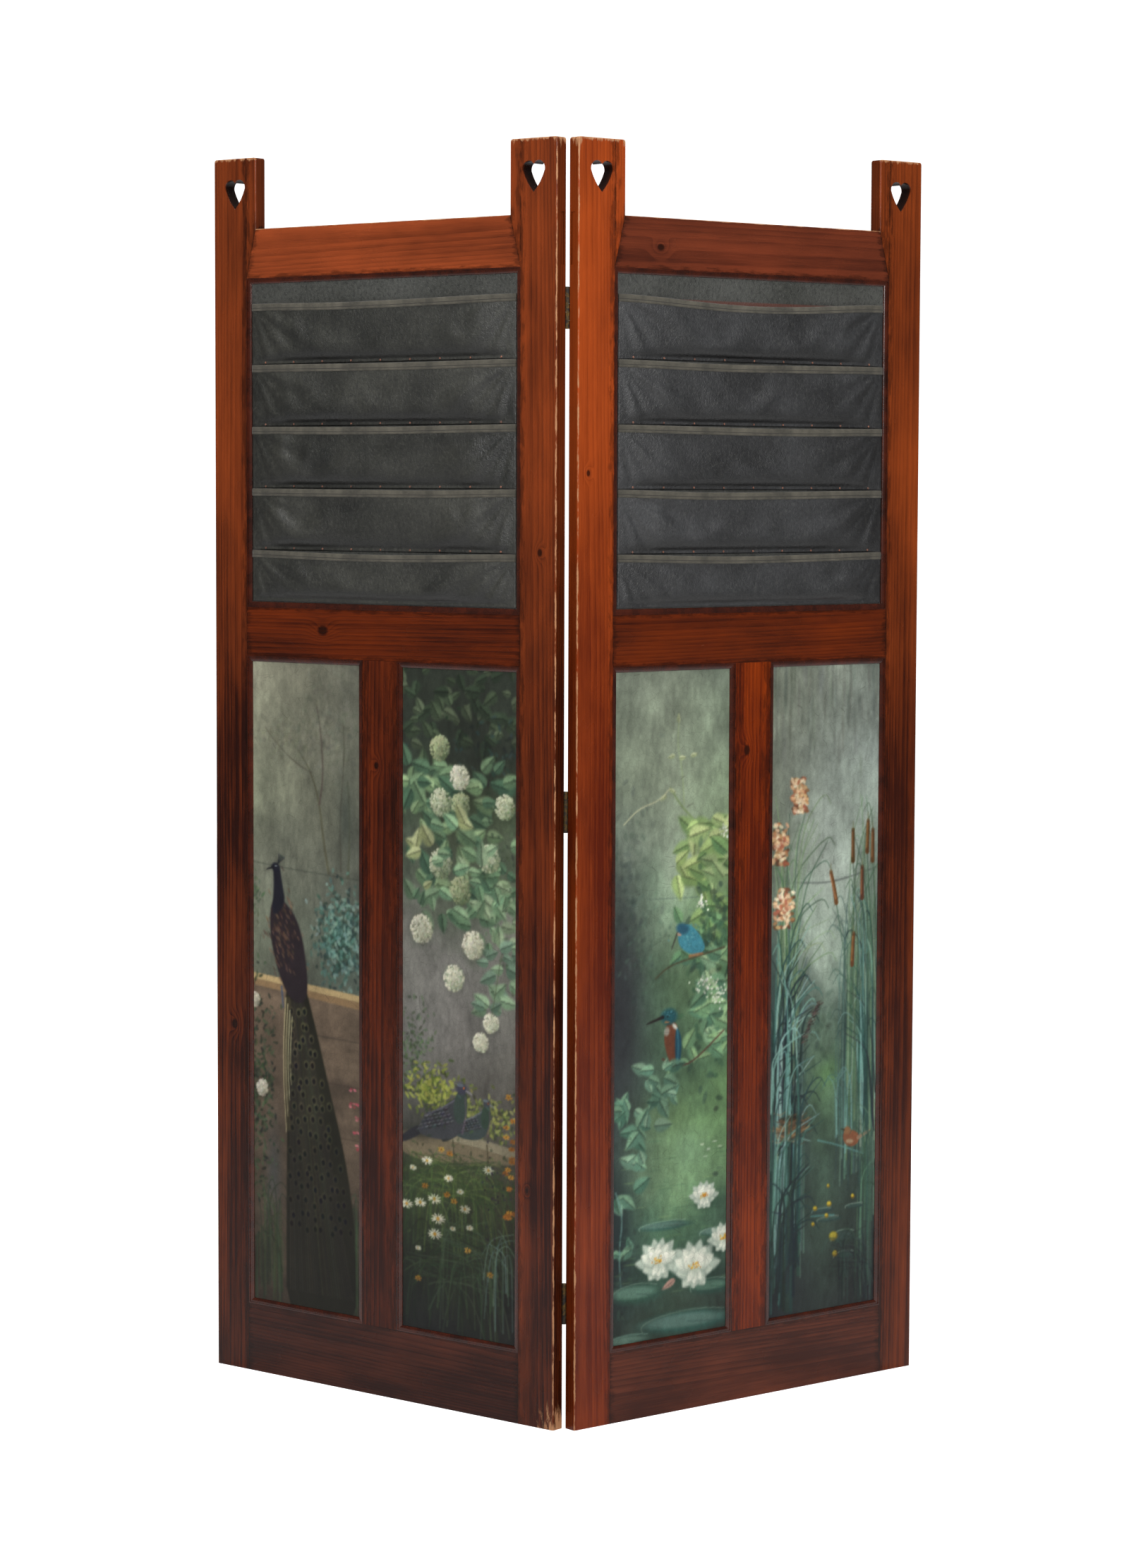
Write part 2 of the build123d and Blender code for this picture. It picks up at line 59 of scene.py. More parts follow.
# %% Leaf directions
FOLD = frame["joints"][0]
PIN = Vector((FOLD["pos_m"][0], FOLD["pos_m"][1], 0.0))
TURN = radians(90.0 - FOLD["range_deg"][1] / 2)
SIDES = {"left": -1, "right": 1}
ALONG = {side: Vector((s * cos(TURN), sin(TURN), 0.0)) for side, s in SIDES.items()}
FRONT = {side: Vector((s * sin(TURN), -cos(TURN), 0.0)) for side, s in SIDES.items()}


def leaf_box(side, name):
    """Lowest and highest (u, f, z) of one of a leaf's nodes."""
    mesh = frame["nodes"][f"{side}_{name}"].data
    points = np.empty(len(mesh.vertices) * 3)
    mesh.vertices.foreach_get("co", points)
    points = points.reshape(-1, 3) - np.array(PIN)
    axes = np.array([ALONG[side], FRONT[side], (0, 0, 1)])
    local = points @ axes.T
    return local.min(0), local.max(0)


def to_frame(side, local):
    """Points given as (u, f, z) of a leaf, in the shared frame."""
    axes = np.array([ALONG[side], FRONT[side], (0, 0, 1)])
    return np.asarray(local) @ axes + np.array(PIN)


LEAF_EDGE = leaf_box("right", "inner_stile")[0][0]
LEAF_END, LEAF_FACE, LEAF_TOP = leaf_box("right", "outer_stile")[1]
LEAF_BACK = leaf_box("right", "outer_stile")[0][1]
RAILS = {name: leaf_box("right", f"{name}_rail") for name in ("bottom", "middle", "top")}
MUNTIN = leaf_box("right", "muntin")
print(f"leaf {LEAF_END - LEAF_EDGE:.3f} m wide, turned back {TURN / pi * 180:.1f} degrees")

# %% [markdown]
# ## Making a mesh and a material
# Every new piece is a mesh written in the shared frame and then tied to its leaf. Colours are written as the hex
# values a painter would pick, and turned to linear light once. One helper adds a shader node: its inputs take
# either a value or another node's output, so a graph reads like a sum.

# %% Helpers
def pigment(hex_colour):
    """A hex colour's red, green and blue, from 0 to 1."""
    return np.array([int(hex_colour[i : i + 2], 16) for i in (1, 3, 5)]) / 255


def to_light(colour):
    """Shares of a colour as a screen holds them, turned to linear light."""
    return np.where(colour <= 0.04045, colour / 12.92, ((colour + 0.055) / 1.055) ** 2.4)


def linear(hex_colour):
    """A hex colour as linear RGBA."""
    return (*to_light(pigment(hex_colour)).tolist(), 1.0)


def add(tree, kind, inputs=None, out=0, **settings):
    """Adds a node, sets it up, fills its inputs, and returns one of its outputs."""
    node = tree.nodes.new(kind)
    for key, value in settings.items():
        setattr(node, key, value)
    for key, value in (inputs or {}).items():
        if isinstance(value, bpy.types.NodeSocket):
            tree.links.new(value, node.inputs[key])
        else:
            node.inputs[key].default_value = value
    return node.outputs[out] if len(node.outputs) else node


def here(tree):
    """Where the point being shaded is, in the shared frame."""
    return add(tree, "ShaderNodeTexCoord", out="Object")


def calc(tree, operation, a, b=0.0, c=0.0):
    """One sum on numbers or node outputs."""
    return add(tree, "ShaderNodeMath", {0: a, 1: b, 2: c}, operation=operation)


def bumps(tree, height, strength, distance):
    """A surface normal that follows a height."""
    return add(tree, "ShaderNodeBump", {"Height": height, "Strength": strength, "Distance": distance})


def blend(tree, share, first, second):
    """From the first colour to the second as share goes from 0 to 1."""
    return add(tree, "ShaderNodeMix", {0: share, 6: first, 7: second}, out=2, data_type="RGBA")


def noise(tree, at, scale, detail, rough):
    """Cloudy noise, with about scale of its largest shapes to the metre."""
    return add(tree, "ShaderNodeTexNoise", {"Vector": at, "Scale": scale, "Detail": detail, "Roughness": rough})


def stretch(tree, value, low, high, first=0.0, last=1.0):
    """Stretches low to high over first to last, and clips what is beyond."""
    return add(tree, "ShaderNodeMapRange", {0: value, 1: low, 2: high, 3: first, 4: last})


def new_material(name):
    """A material with an empty tree, and that tree."""
    material = bpy.data.materials.new(name)
    material.use_nodes = True
    material.node_tree.nodes.clear()
    return material, material.node_tree


def finish_material(tree, **inputs):
    """Joins a Principled shader with these inputs to the material's output."""
    names = {key.replace("_", " "): value for key, value in inputs.items()}
    shader = add(tree, "ShaderNodeBsdfPrincipled", names)
    add(tree, "ShaderNodeOutputMaterial", {"Surface": shader})


def dress(node, material):
    """Gives a finished node one material in place of its plain one."""
    node.data.materials.clear()
    node.data.materials.append(material)


def new_piece(name, side, local, faces, material):
    """A mesh piece from a leaf's (u, f, z) points, riding on that leaf. Faces are wound for the right leaf."""
    mesh = bpy.data.meshes.new(name)
    if side == "left":
        faces = [face[::-1] for face in faces]
    mesh.from_pydata(to_frame(side, local).tolist(), [], faces)
    mesh.polygons.foreach_set("use_smooth", [True] * len(mesh.polygons))
    mesh.materials.append(material)
    piece = bpy.data.objects.new(name, mesh)
    bpy.context.scene.collection.objects.link(piece)
    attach(piece, f"{side}_leaf")
    return piece


def grid_faces(rows, columns):
    """Quads of a grid whose points run along each row in turn."""
    corner = np.arange(rows * columns).reshape(rows, columns)
    quads = [corner[:-1, :-1], corner[:-1, 1:], corner[1:, 1:], corner[1:, :-1]]
    return np.stack([q.ravel() for q in quads], 1).tolist()


def grid_rim(rows, columns):
    """The same grid's outline, point by point."""
    corner = np.arange(rows * columns).reshape(rows, columns)
    return np.concatenate([corner[0, :-1], corner[:-1, -1], corner[-1, :0:-1], corner[:0:-1, 0]])


# %% [markdown]
# ## Stained pine
# The frame is flat-sawn Scots pine, stained mahogany red and varnished. Pine shows its growth rings as pale bands
# of soft early wood and thin dark lines of late wood, and the stain makes both redder. A wood picture would repeat
# and wouldn't turn the corner of an edge, so the rings are worked out in three dimensions. Each board is given a
# pith, the centre line of its tree, and the colour depends on the distance from it. Knots push the rings aside.
# A century of hands has rubbed the arrises back to bare wood, and dirt lies along the joints. Painted shade darkens a
# wider band beside the joints, the side faces, the walls of the heart cutouts and the boards towards the floor.

# %% Pine
RING_SPACING = 3.6 * MM
FIBRE_WIDTH = 0.6 * MM  # a real fibre is far finer, and this is the least that shows
MEANDER = 22 * MM  # how far the rings wander
KNOT_PUSH = 9 * MM  # how far a knot pushes them aside
VARNISH_IOR = 1.5


def stained_pine(name, side, grain, pith, tones, knots=(), worn=(), grimy_and_shaded=(), hollows=(), gloss=0.27):
    """Pine whose grain runs along "z" or "u". pith is its centre line's place across and behind the board, and how
    fast it leans. knots are (across, along, radius). worn lists arrises, and the next argument joints, each as two
    axes, their two places and a width; each joint gets a dirt line and a wider band of painted shade. hollows are
    (u, z, radius) of openings, whose inner walls get painted shade."""
    material, tree = new_material(name)
    at = here(tree)
    at = add(tree, "ShaderNodeVectorMath", {0: at, 1: PIN}, operation="SUBTRACT")
    u = add(tree, "ShaderNodeVectorMath", {0: at, 1: ALONG[side]}, out="Value", operation="DOT_PRODUCT")
    f = add(tree, "ShaderNodeVectorMath", {0: at, 1: FRONT[side]}, out="Value", operation="DOT_PRODUCT")
    z = add(tree, "ShaderNodeSeparateXYZ", {0: at}, out="Z")
    axes = {"u": u, "f": f, "z": z}
    along, across = (z, u) if grain == "z" else (u, z)

    def sums(*terms):
        return calc(tree, *terms)

    def cloud(scales, detail=2.0, rough=0.5):
        """Noise over (across, f, along), stretched by a scale for each."""
        scaled = [sums("MULTIPLY", a, s) for a, s in zip((across, f, along), scales)]
        vector = add(tree, "ShaderNodeCombineXYZ", dict(enumerate(scaled)))
        shift = add(tree, "ShaderNodeVectorMath", {0: vector, 1: (pith[0] * 900, pith[1] * 700, 3.0)})
        return add(tree, "ShaderNodeTexNoise", {"Vector": shift, "Scale": 1.0, "Detail": detail, "Roughness": rough})

    def soft_step(value, low, high):
        return add(tree, "ShaderNodeMapRange", {0: value, 1: low, 2: high}, interpolation_type="SMOOTHSTEP")

    def near(lines):
        """1 on the given lines, fading unevenly over their widths."""
        ragged = soft_step(cloud((130.0, 130.0, 30.0), 6.0, 0.75), 0.34, 0.66)
        total = 0.0
        for (a, b), (place_a, place_b), width in lines:
            if b == "slant":  # a line rising from a corner: its slope is across for each unit up
                (start, height), slope = place_a, place_b
                up = sums("SUBTRACT", z, height)
                square = sums("POWER", sums("SUBTRACT", sums("SUBTRACT", u, start), sums("MULTIPLY", up, slope)), 2.0)
                square = sums("ADD", square, sums("POWER", sums("MINIMUM", up, 0.0), 2.0))
            else:
                square = sums("POWER", sums("SUBTRACT", axes[a], place_a), 2.0)
            if b in axes:
                square = sums("ADD", square, sums("POWER", sums("SUBTRACT", axes[b], place_b), 2.0))
            share = sums("DIVIDE", sums("SQRT", square), width)
            share = sums("ADD", share, ragged)
            mask = soft_step(share, 1.25, 0.55)
            total = sums("MAXIMUM", mask, total)
        return total

    meander = sums("MULTIPLY", sums("SUBTRACT", cloud((7.0, 5.0, 1.1)), 0.5), MEANDER)
    lean = sums("MULTIPLY", along, pith[2])
    sideways = sums("ADD", sums("ADD", sums("SUBTRACT", across, pith[0]), meander), lean)
    radius = sums("SQRT", sums("ADD", sums("POWER", sideways, 2.0), sums("POWER", sums("ADD", f, pith[1]), 2.0)))
    knot = 0.0
    for place, height, size in knots:
        x = sums("DIVIDE", sums("SUBTRACT", across, place), size)
        y = sums("DIVIDE", sums("SUBTRACT", along, height), size * 1.4)
        square = sums("ADD", sums("MULTIPLY", x, x), sums("MULTIPLY", y, y))
        swell = sums("EXPONENT", sums("MULTIPLY", square, -0.35))
        radius = sums("MULTIPLY_ADD", swell, KNOT_PUSH, radius)
        knot = sums("MAXIMUM", soft_step(square, 1.0, 0.25), knot)
    rings = sums("FRACT", sums("DIVIDE", radius, RING_SPACING))
    late = add(tree, "ShaderNodeValToRGB", {0: rings})
    ramp = late.node.color_ramp
    for place, shade in ((0.35, 0.12), (0.8, 0.75), (0.93, 1.0)):
        ramp.elements.new(place).color = (shade, shade, shade, 1)
    ramp.elements[-1].color = (0, 0, 0, 1)
    fibre = cloud((1 / FIBRE_WIDTH, 1 / FIBRE_WIDTH, 16.0), 3.0, 0.6)
    streak = cloud((95.0, 60.0, 2.2), 2.0, 0.5)
    blotch = cloud((14.0, 10.0, 4.5), 3.0, 0.6)
    depth = sums("MULTIPLY_ADD", late, 0.22, sums("MULTIPLY_ADD", fibre, 0.95, -0.475))
    depth = sums("ADD", depth, sums("MULTIPLY_ADD", streak, 0.65, -0.325))
    depth = sums("ADD", depth, sums("MULTIPLY_ADD", blotch, 1.1, -0.20))
    # Painted shade: below 1.45 m the boards are pushed towards their dark tone, standing in for the high lamps
    # lighting them less near the floor.
    low = soft_step(z, 1.45, 0.8)
    depth = add(tree, "ShaderNodeClamp", {0: sums("MULTIPLY_ADD", low, 0.42, depth)})
    colour = blend(tree, depth, *[linear(tone) for tone in tones])
    # Painted shade: a band six times as wide as each joint's dirt line is darkened by half, leaving the middle of
    # each board lighter.
    shade_beside_joints = near([(axes_used, places, width * 6) for axes_used, places, width in grimy_and_shaded])
    dirt_and_shade = sums("MAXIMUM", sums("MULTIPLY", near(grimy_and_shaded), 0.85), sums("MULTIPLY", knot, 0.85))
    dirt_and_shade = sums("MAXIMUM", dirt_and_shade, sums("MULTIPLY", shade_beside_joints, 0.5))
    # Painted shade: the side faces of the boards, which turn away from the lamps, are darkened.
    edge_face = soft_step(f, LEAF_FACE - 1.5 * MM, LEAF_FACE - 3 * MM)
    edge_face = sums("MULTIPLY", edge_face, soft_step(f, LEAF_BACK + 0.2 * MM, LEAF_BACK + 1.5 * MM))
    dirt_and_shade = sums("MAXIMUM", dirt_and_shade, sums("MULTIPLY", edge_face, 0.45))
    # Painted shade: the inner walls of the heart cutouts are made nearly black.
    for place, height, size in hollows:
        x, y = sums("SUBTRACT", u, place), sums("SUBTRACT", z, height)
        distance = sums("SQRT", sums("ADD", sums("MULTIPLY", x, x), sums("MULTIPLY", y, y)))
        within = sums("MULTIPLY", soft_step(distance, size * 1.1, size), edge_face)
        dirt_and_shade = sums("MAXIMUM", dirt_and_shade, sums("MULTIPLY", within, 0.92))
    # The dirt lines, the knots and the painted shade above darken the colour together.
    colour = blend(tree, dirt_and_shade, colour, linear("#140602"))
    scuff = soft_step(cloud((60.0, 60.0, 9.0), 8.0, 0.75), 0.66, 0.74)
    colour = blend(tree, sums("MULTIPLY", scuff, 0.35), colour, linear("#241009"))
    rubbed = near(worn)
    bare = blend(tree, fibre, linear("#8a4a26"), linear("#dba97c"))
    colour = blend(tree, rubbed, colour, bare)
    height = sums("MULTIPLY_ADD", late, -0.35, sums("MULTIPLY", fibre, 0.5))
    height = sums("ADD", height, sums("MULTIPLY", cloud((45.0, 45.0, 30.0), 6.0, 0.7), 1.6))
    height = sums("SUBTRACT", height, sums("MULTIPLY", rubbed, 0.8))
    bump = bumps(tree, height, 0.5, 0.35 * MM)
    rough = sums("MULTIPLY_ADD", blotch, 0.2, gloss - 0.1)
    rough = sums("MAXIMUM", rough, sums("MULTIPLY", rubbed, 0.65))
    finish_material(
        tree,
        Base_Color=colour,
        Roughness=rough,
        Normal=bump,
        IOR=VARNISH_IOR,
        Specular_IOR_Level=0.2,
        Coat_Weight=0.1,
        Coat_Roughness=0.1,
    )
    return material


# %% [markdown]
# Every board of the frame gets its own pith, so no two show the same rings. The upright boards' arrises are worn
# where hands and feet reach: widely on the horns, and in broken lines down the edges beside the hinges.

# %% Finishing the frame
HORN = 84 * MM
TENON = 40 * MM  # how far each rail reaches into a stile
STILE = RAILS["top"][0][0] - LEAF_EDGE + TENON
SHOULDER = (HORN - STILE) / (RAILS["top"][1][2] - RAILS["top"][0][2])  # how fast the gunstock shoulders lean


def wear_of(side, piece):
    """Worn arrises of a board, as stained_pine takes them."""
    top = [(("f", "z"), (LEAF_FACE, LEAF_TOP), 5 * MM), (("f", "z"), (LEAF_BACK, LEAF_TOP), 3 * MM)]
    if piece == "inner_stile":
        wear = [
            (("u", "f"), (LEAF_EDGE, LEAF_FACE), 2.4 * MM),
            (("u", "z"), (LEAF_EDGE, LEAF_TOP), 15 * MM),
            (("u", "z"), (LEAF_EDGE + HORN, LEAF_TOP), 11 * MM),
            *top,
        ]
        return wear + [(("u", "z"), (LEAF_EDGE, 0), 38 * MM)] * (side == "left")  # a corner knocked off
    if piece == "outer_stile":
        return [(("u", "f"), (LEAF_END, LEAF_FACE), 1.6 * MM), (("u", "z"), (LEAF_END, LEAF_TOP), 10 * MM), *top]
    return [(("f", "z"), (LEAF_FACE, RAILS["top"][1][2]), 1.6 * MM)] if piece == "top_rail" else []


INNER_LINE, OUTER_LINE = LEAF_EDGE + STILE, LEAF_END - STILE
RAIL_FOOT = RAILS["top"][0][2]
# Joint lines: each gets a thin dirt line and a wider band of painted shade beside it.
UPRIGHT_GRIME_AND_SHADE = [(("u", None), (line, 0), 2.0 * MM) for line in (INNER_LINE, OUTER_LINE)]
UPRIGHT_GRIME_AND_SHADE += [
    ((None, "slant"), ((INNER_LINE, RAIL_FOOT), SHOULDER), 2.0 * MM),
    ((None, "slant"), ((OUTER_LINE, RAIL_FOOT), -SHOULDER), 2.0 * MM),
]
RAIL_EDGES = RAILS["top"][0][2], RAILS["middle"][1][2], RAILS["middle"][0][2], RAILS["bottom"][1][2]
RAIL_GRIME_AND_SHADE = UPRIGHT_GRIME_AND_SHADE + [(("z", None), (edge, 0), 1.2 * MM) for edge in RAIL_EDGES]
MUNTIN_GRIME_AND_SHADE = [(("u", None), (corner[0], 0), 4.0 * MM) for corner in MUNTIN]
HEARTS = [(u, LEAF_TOP - 50 * MM, 27 * MM) for u in (LEAF_EDGE + HORN / 2, LEAF_END - HORN / 2)]
# Two stain tones for each board, light and dark. Some carry painted light and shade: the left top rail's tones are
# lighter, for the light from above, and the right leaf's lower boards are lighter and its top rail darker, for the
# lamps falling unevenly on that leaf.
TONES = {
    "outer_stile": ("#94421b", "#2a0d06"),
    "inner_stile": ("#9e461d", "#2a0c06"),
    "muntin": ("#933c14", "#2c0d06"),
    "middle_rail": ("#84340e", "#300f06"),
    "bottom_rail": ("#6c3420", "#2c110b"),
    "left_top_rail": ("#ab4f28", "#52220f"),
    "right_top_rail": ("#7e3a22", "#34150e"),
    "right_inner_stile": ("#b54e1c", "#5a1a04"),
    "right_outer_stile": ("#9c4519", "#351005"),
    "right_muntin": ("#b94a0e", "#531703"),
    "right_bottom_rail": ("#854229", "#3e1a10"),
}
FRAME_BOARDS = {
    "outer_stile": ("z", [(0.60, 0.045, 0.006), (0.655, 0.06, -0.01)], UPRIGHT_GRIME_AND_SHADE),
    "inner_stile": ("z", [(0.05, 0.05, -0.012), (0.015, 0.04, 0.009)], UPRIGHT_GRIME_AND_SHADE),
    "muntin": ("z", [(0.31, 0.05, 0.01), (0.36, 0.045, -0.006)], MUNTIN_GRIME_AND_SHADE),
    "top_rail": ("u", [(1.70, 0.05, 0.02), (1.64, 0.06, -0.01)], RAIL_GRIME_AND_SHADE),
    "middle_rail": ("u", [(1.06, 0.045, 0.015), (1.15, 0.05, -0.02)], RAIL_GRIME_AND_SHADE),
    "bottom_rail": ("u", [(0.12, 0.06, -0.02), (0.02, 0.05, 0.015)], RAIL_GRIME_AND_SHADE),
}
KNOTS = {
    "left_outer_stile": [(0.62, 0.52, 7 * MM)],
    "left_inner_stile": [(0.03, 1.23, 5 * MM), (0.05, 0.335, 4 * MM)],
    "left_middle_rail": [(1.112, 0.44, 9 * MM)],
    "left_muntin": [(0.335, 0.92, 5 * MM)],
    "right_top_rail": [(1.655, 0.15, 6 * MM)],
    "right_muntin": [(0.318, 0.945, 7 * MM)],
    "right_inner_stile": [(0.02, 1.34, 4 * MM)],
}
for index, side in enumerate(SIDES):
    for piece, (grain, piths, grime_and_shade) in FRAME_BOARDS.items():
        node = frame["nodes"][f"{side}_{piece}"]
        tones = TONES.get(f"{side}_{piece}") or TONES[piece]
        pine = stained_pine(
            f"Stained pine {side} {piece}",
            side,
            grain,
            piths[index],
            tones,
            KNOTS.get(f"{side}_{piece}", ()),
            wear_of(side, piece),
            grime_and_shade,
            HEARTS if "stile" in piece else (),
        )
        dress(node, pine)
print("stained pine on", 2 * len(FRAME_BOARDS), "boards")

# %% [markdown]
# The mouldings are pine too, but so narrow that no grain reads. They are coloured nearly black beside the boards,
# and a bright varnish carries long thin highlights. The beads and boards at the back were never varnished.

# %% Mouldings, beads and boards
def dark_moulding():
    """Nearly black moulding, dirty in mottled patches and rubbed in spots."""
    material, tree = new_material("Varnished moulding")
    at = here(tree)
    mottle = noise(tree, at, 34.0, 6.0, 0.65)
    share = stretch(tree, mottle, 0.3, 0.75)
    base = blend(tree, share, linear("#260d06"), linear("#54200e"))
    bump = bumps(tree, mottle, 0.3, 0.2 * MM)
    finish_material(tree, Base_Color=base, Roughness=0.2, Normal=bump, IOR=VARNISH_IOR, Specular_IOR_Level=0.6)
    return material


moulding = dark_moulding()
for side in SIDES:
    bead = stained_pine(f"Stained bead {side}", side, "z", (0.4, 0.08, 0.0), ("#7a3a1c", "#40190a"), gloss=0.5)
    plain = stained_pine(f"Thin board {side}", side, "z", (0.33, 0.03, 0.02), ("#a5693c", "#6d3a1c"), gloss=0.6)
    for name, node in frame["nodes"].items():
        if name.startswith(side):
            for word, material in (("moulding", moulding), ("bead", bead), ("board", plain), ("panel", plain)):
                if word in name:
                    dress(node, material)
print("mouldings, beads and boards finished")

# %% [markdown]
# ## Hinges, screws and tacks
# The butt hinges are brass gone brown, bright only where the knuckles rub. The tacks are coppered iron, dulled to
# pink. Both are metals, so their colour is in the reflection, and a patina that is not metal breaks it up.

# %% Metals
def aged_metal(name, bright, patina, cover, rough):
    """Metal of a bright colour under patina. cover is how much of it the patina hides."""
    material, tree = new_material(name)
    at = here(tree)
    spots = noise(tree, at, 220.0, 6.0, 0.65)
    mask = stretch(tree, spots, cover - 0.12, cover + 0.12)
    colour = blend(tree, mask, linear(patina), linear(bright))
    dull = stretch(tree, mask, 0.0, 1.0, rough + 0.2, rough)
    bump = bumps(tree, spots, 0.3, 0.1 * MM)
    finish_material(tree, Base_Color=colour, Metallic=mask, Roughness=dull, Normal=bump)
    return material


METALS = {
    "hinge_leaf": aged_metal("Aged brass", "#7a5e2e", "#17110a", 0.56, 0.4),
    "hinge_pin": aged_metal("Rubbed brass", "#9a7a40", "#1d150b", 0.52, 0.34),
    "hinge_screws": aged_metal("Dulled brass screws", "#9c7a44", "#2a2014", 0.52, 0.42),
    "tacks": aged_metal("Coppered tacks", "#b98570", "#5f453b", 0.5, 0.5),
}
for name, node in frame["nodes"].items():
    for word, material in METALS.items():
        if word in name:
            dress(node, material)
print("metals:", ", ".join(METALS))

# %% [markdown]
# ## Leathercloth pockets
# Leathercloth is cotton coated with oil and grained with a roller, the washable covering of its day. Each pocket is
# one strip, tacked along its foot and down both sides, and bound with tape along its mouth. It was cut a little
# longer than the space it fills, and the slack has sunk into a belly above the tacks. Modelling that by hand gives a
# tube. Blender's cloth finds it instead: each strip starts as a shallow even bulge of the right length, is held on
# its four edges, and settles under its own weight. The rows simulate at ten times size, where the solver is steady.

# %% Cutting the pockets
CLOTH = 1.0 * MM
TAPE = 0.6 * MM
HEM = 6 * MM
MESH_STEP = 5 * MM
POCKETS = [f"pocket_{i}" for i in range(1, 6)]
BACKING = leaf_box("right", "pocket_backing_cloth")[1][1]
BELLY_LIMIT = leaf_box("right", "pocket_3")[1][1] - CLOTH / 2
TOUCHING = 0.1 * MM  # what is left between two cloths that touch
MOUTH_STAND_OFF, MOUTH_REACH = 6.6 * MM, 95 * MM  # how far the mouths gape, and how far from their ends
SLACK_BULGE, BULGE_REACH = 9.5 * MM, 120 * MM
RIPPLE = 1.6 * MM
CREASE, CREASE_REACH = 1.3 * MM, 75 * MM
HANG_SCALE, HANG_FRAMES = 10, 45
# How far each tape sags, where it is lowest as a share of its width, and how far its right end has slipped.
SAGS = {
    "left": [(3.0, 0.6, 1.0), (1.5, 0.4, 0.0), (2.0, 0.5, 0.0), (2.0, 0.3, 0.0), (4.0, 0.5, 0.0)],
    "right": [(10.0, 0.5, 0.0), (3.0, 0.4, 0.0), (2.5, 0.6, 0.0), (3.5, 0.35, 0.0), (4.0, 0.45, 0.0)],
}


def pocket_start(side, number, rng):
    """A pocket before it hangs: a grid of (u, f, z) points from hem to mouth."""
    low, high = leaf_box(side, POCKETS[number])
    columns = round((high[0] - low[0]) / MESH_STEP)
    rows = round((high[2] - low[2] - HEM) / MESH_STEP)
    across = np.linspace(0, 1, columns + 1)
    up = np.linspace(0, 1, rows + 1)
    sag, lowest, slip = SAGS[side][number]
    bow = np.where(across < lowest, across / lowest, (1 - across) / (1 - lowest))
    mouth = high[2] - TAPE - MM * (sag * np.sin(bow * pi / 2) ** 1.5 + slip * across)
    edge = np.minimum(across, 1 - across) * (high[0] - low[0])
    open_share = np.sin(np.clip(edge / MOUTH_REACH, 0, 1) * pi / 2)
    z = low[2] + HEM + (mouth - low[2] - HEM)[None, :] * up[:, None]
    stand_off = CLOTH / 2 + TOUCHING + (MOUTH_STAND_OFF * open_share)[None, :] * up[:, None] ** 2
    waves = sum(np.sin(across * tau * k + rng.uniform(0, tau)) * rng.normal(0, 1) / k for k in range(1, 8))
    bulge = np.sin(pi * up[:, None] ** 0.75) * np.sin(np.clip(edge / BULGE_REACH, 0, 1) * pi / 2)[None, :]
    f = BACKING + stand_off + bulge * (SLACK_BULGE + RIPPLE * waves[None, :])
    u = np.broadcast_to(low[0] + across * (high[0] - low[0]), z.shape)
    free = np.stack([u, f, z], 2)
    hem = np.repeat(free[:1], 2, axis=0)
    hem[:, :, 1] = BACKING + CLOTH / 2 + TOUCHING
    hem[:, :, 2] -= np.array([HEM, HEM / 2])[:, None]
    return np.concatenate([hem, free])


def drag_creases(grid, rng):
    """How far the creases that run down from a pocket's two top corners lift each point of its grid."""
    lift = np.zeros(grid.shape[:2])
    for corner in (grid[-1, 0], grid[-1, -1]):
        away = np.hypot(grid[:, :, 0] - corner[0], grid[:, :, 2] - corner[2])
        slope = np.arctan2(corner[2] - grid[:, :, 2], np.abs(grid[:, :, 0] - corner[0]) + MM)
        wave = np.sin(slope * rng.uniform(11, 15) + rng.uniform(0, tau)) * np.sin(slope * 5 + rng.uniform(0, tau))
        lift += CREASE * wave * (away / CREASE_REACH) * np.exp(1 - away / CREASE_REACH)
    edge = np.minimum(np.abs(grid[:, :, 0] - grid[0, 0, 0]), np.abs(grid[:, :, 0] - grid[0, -1, 0]))
    drop = np.minimum(grid[-1:, :, 2] - grid[:, :, 2], grid[:, :, 2] - grid[:1, :, 2])
    return lift * np.clip(edge / (25 * MM), 0, 1) * np.clip(drop / (12 * MM), 0, 1)


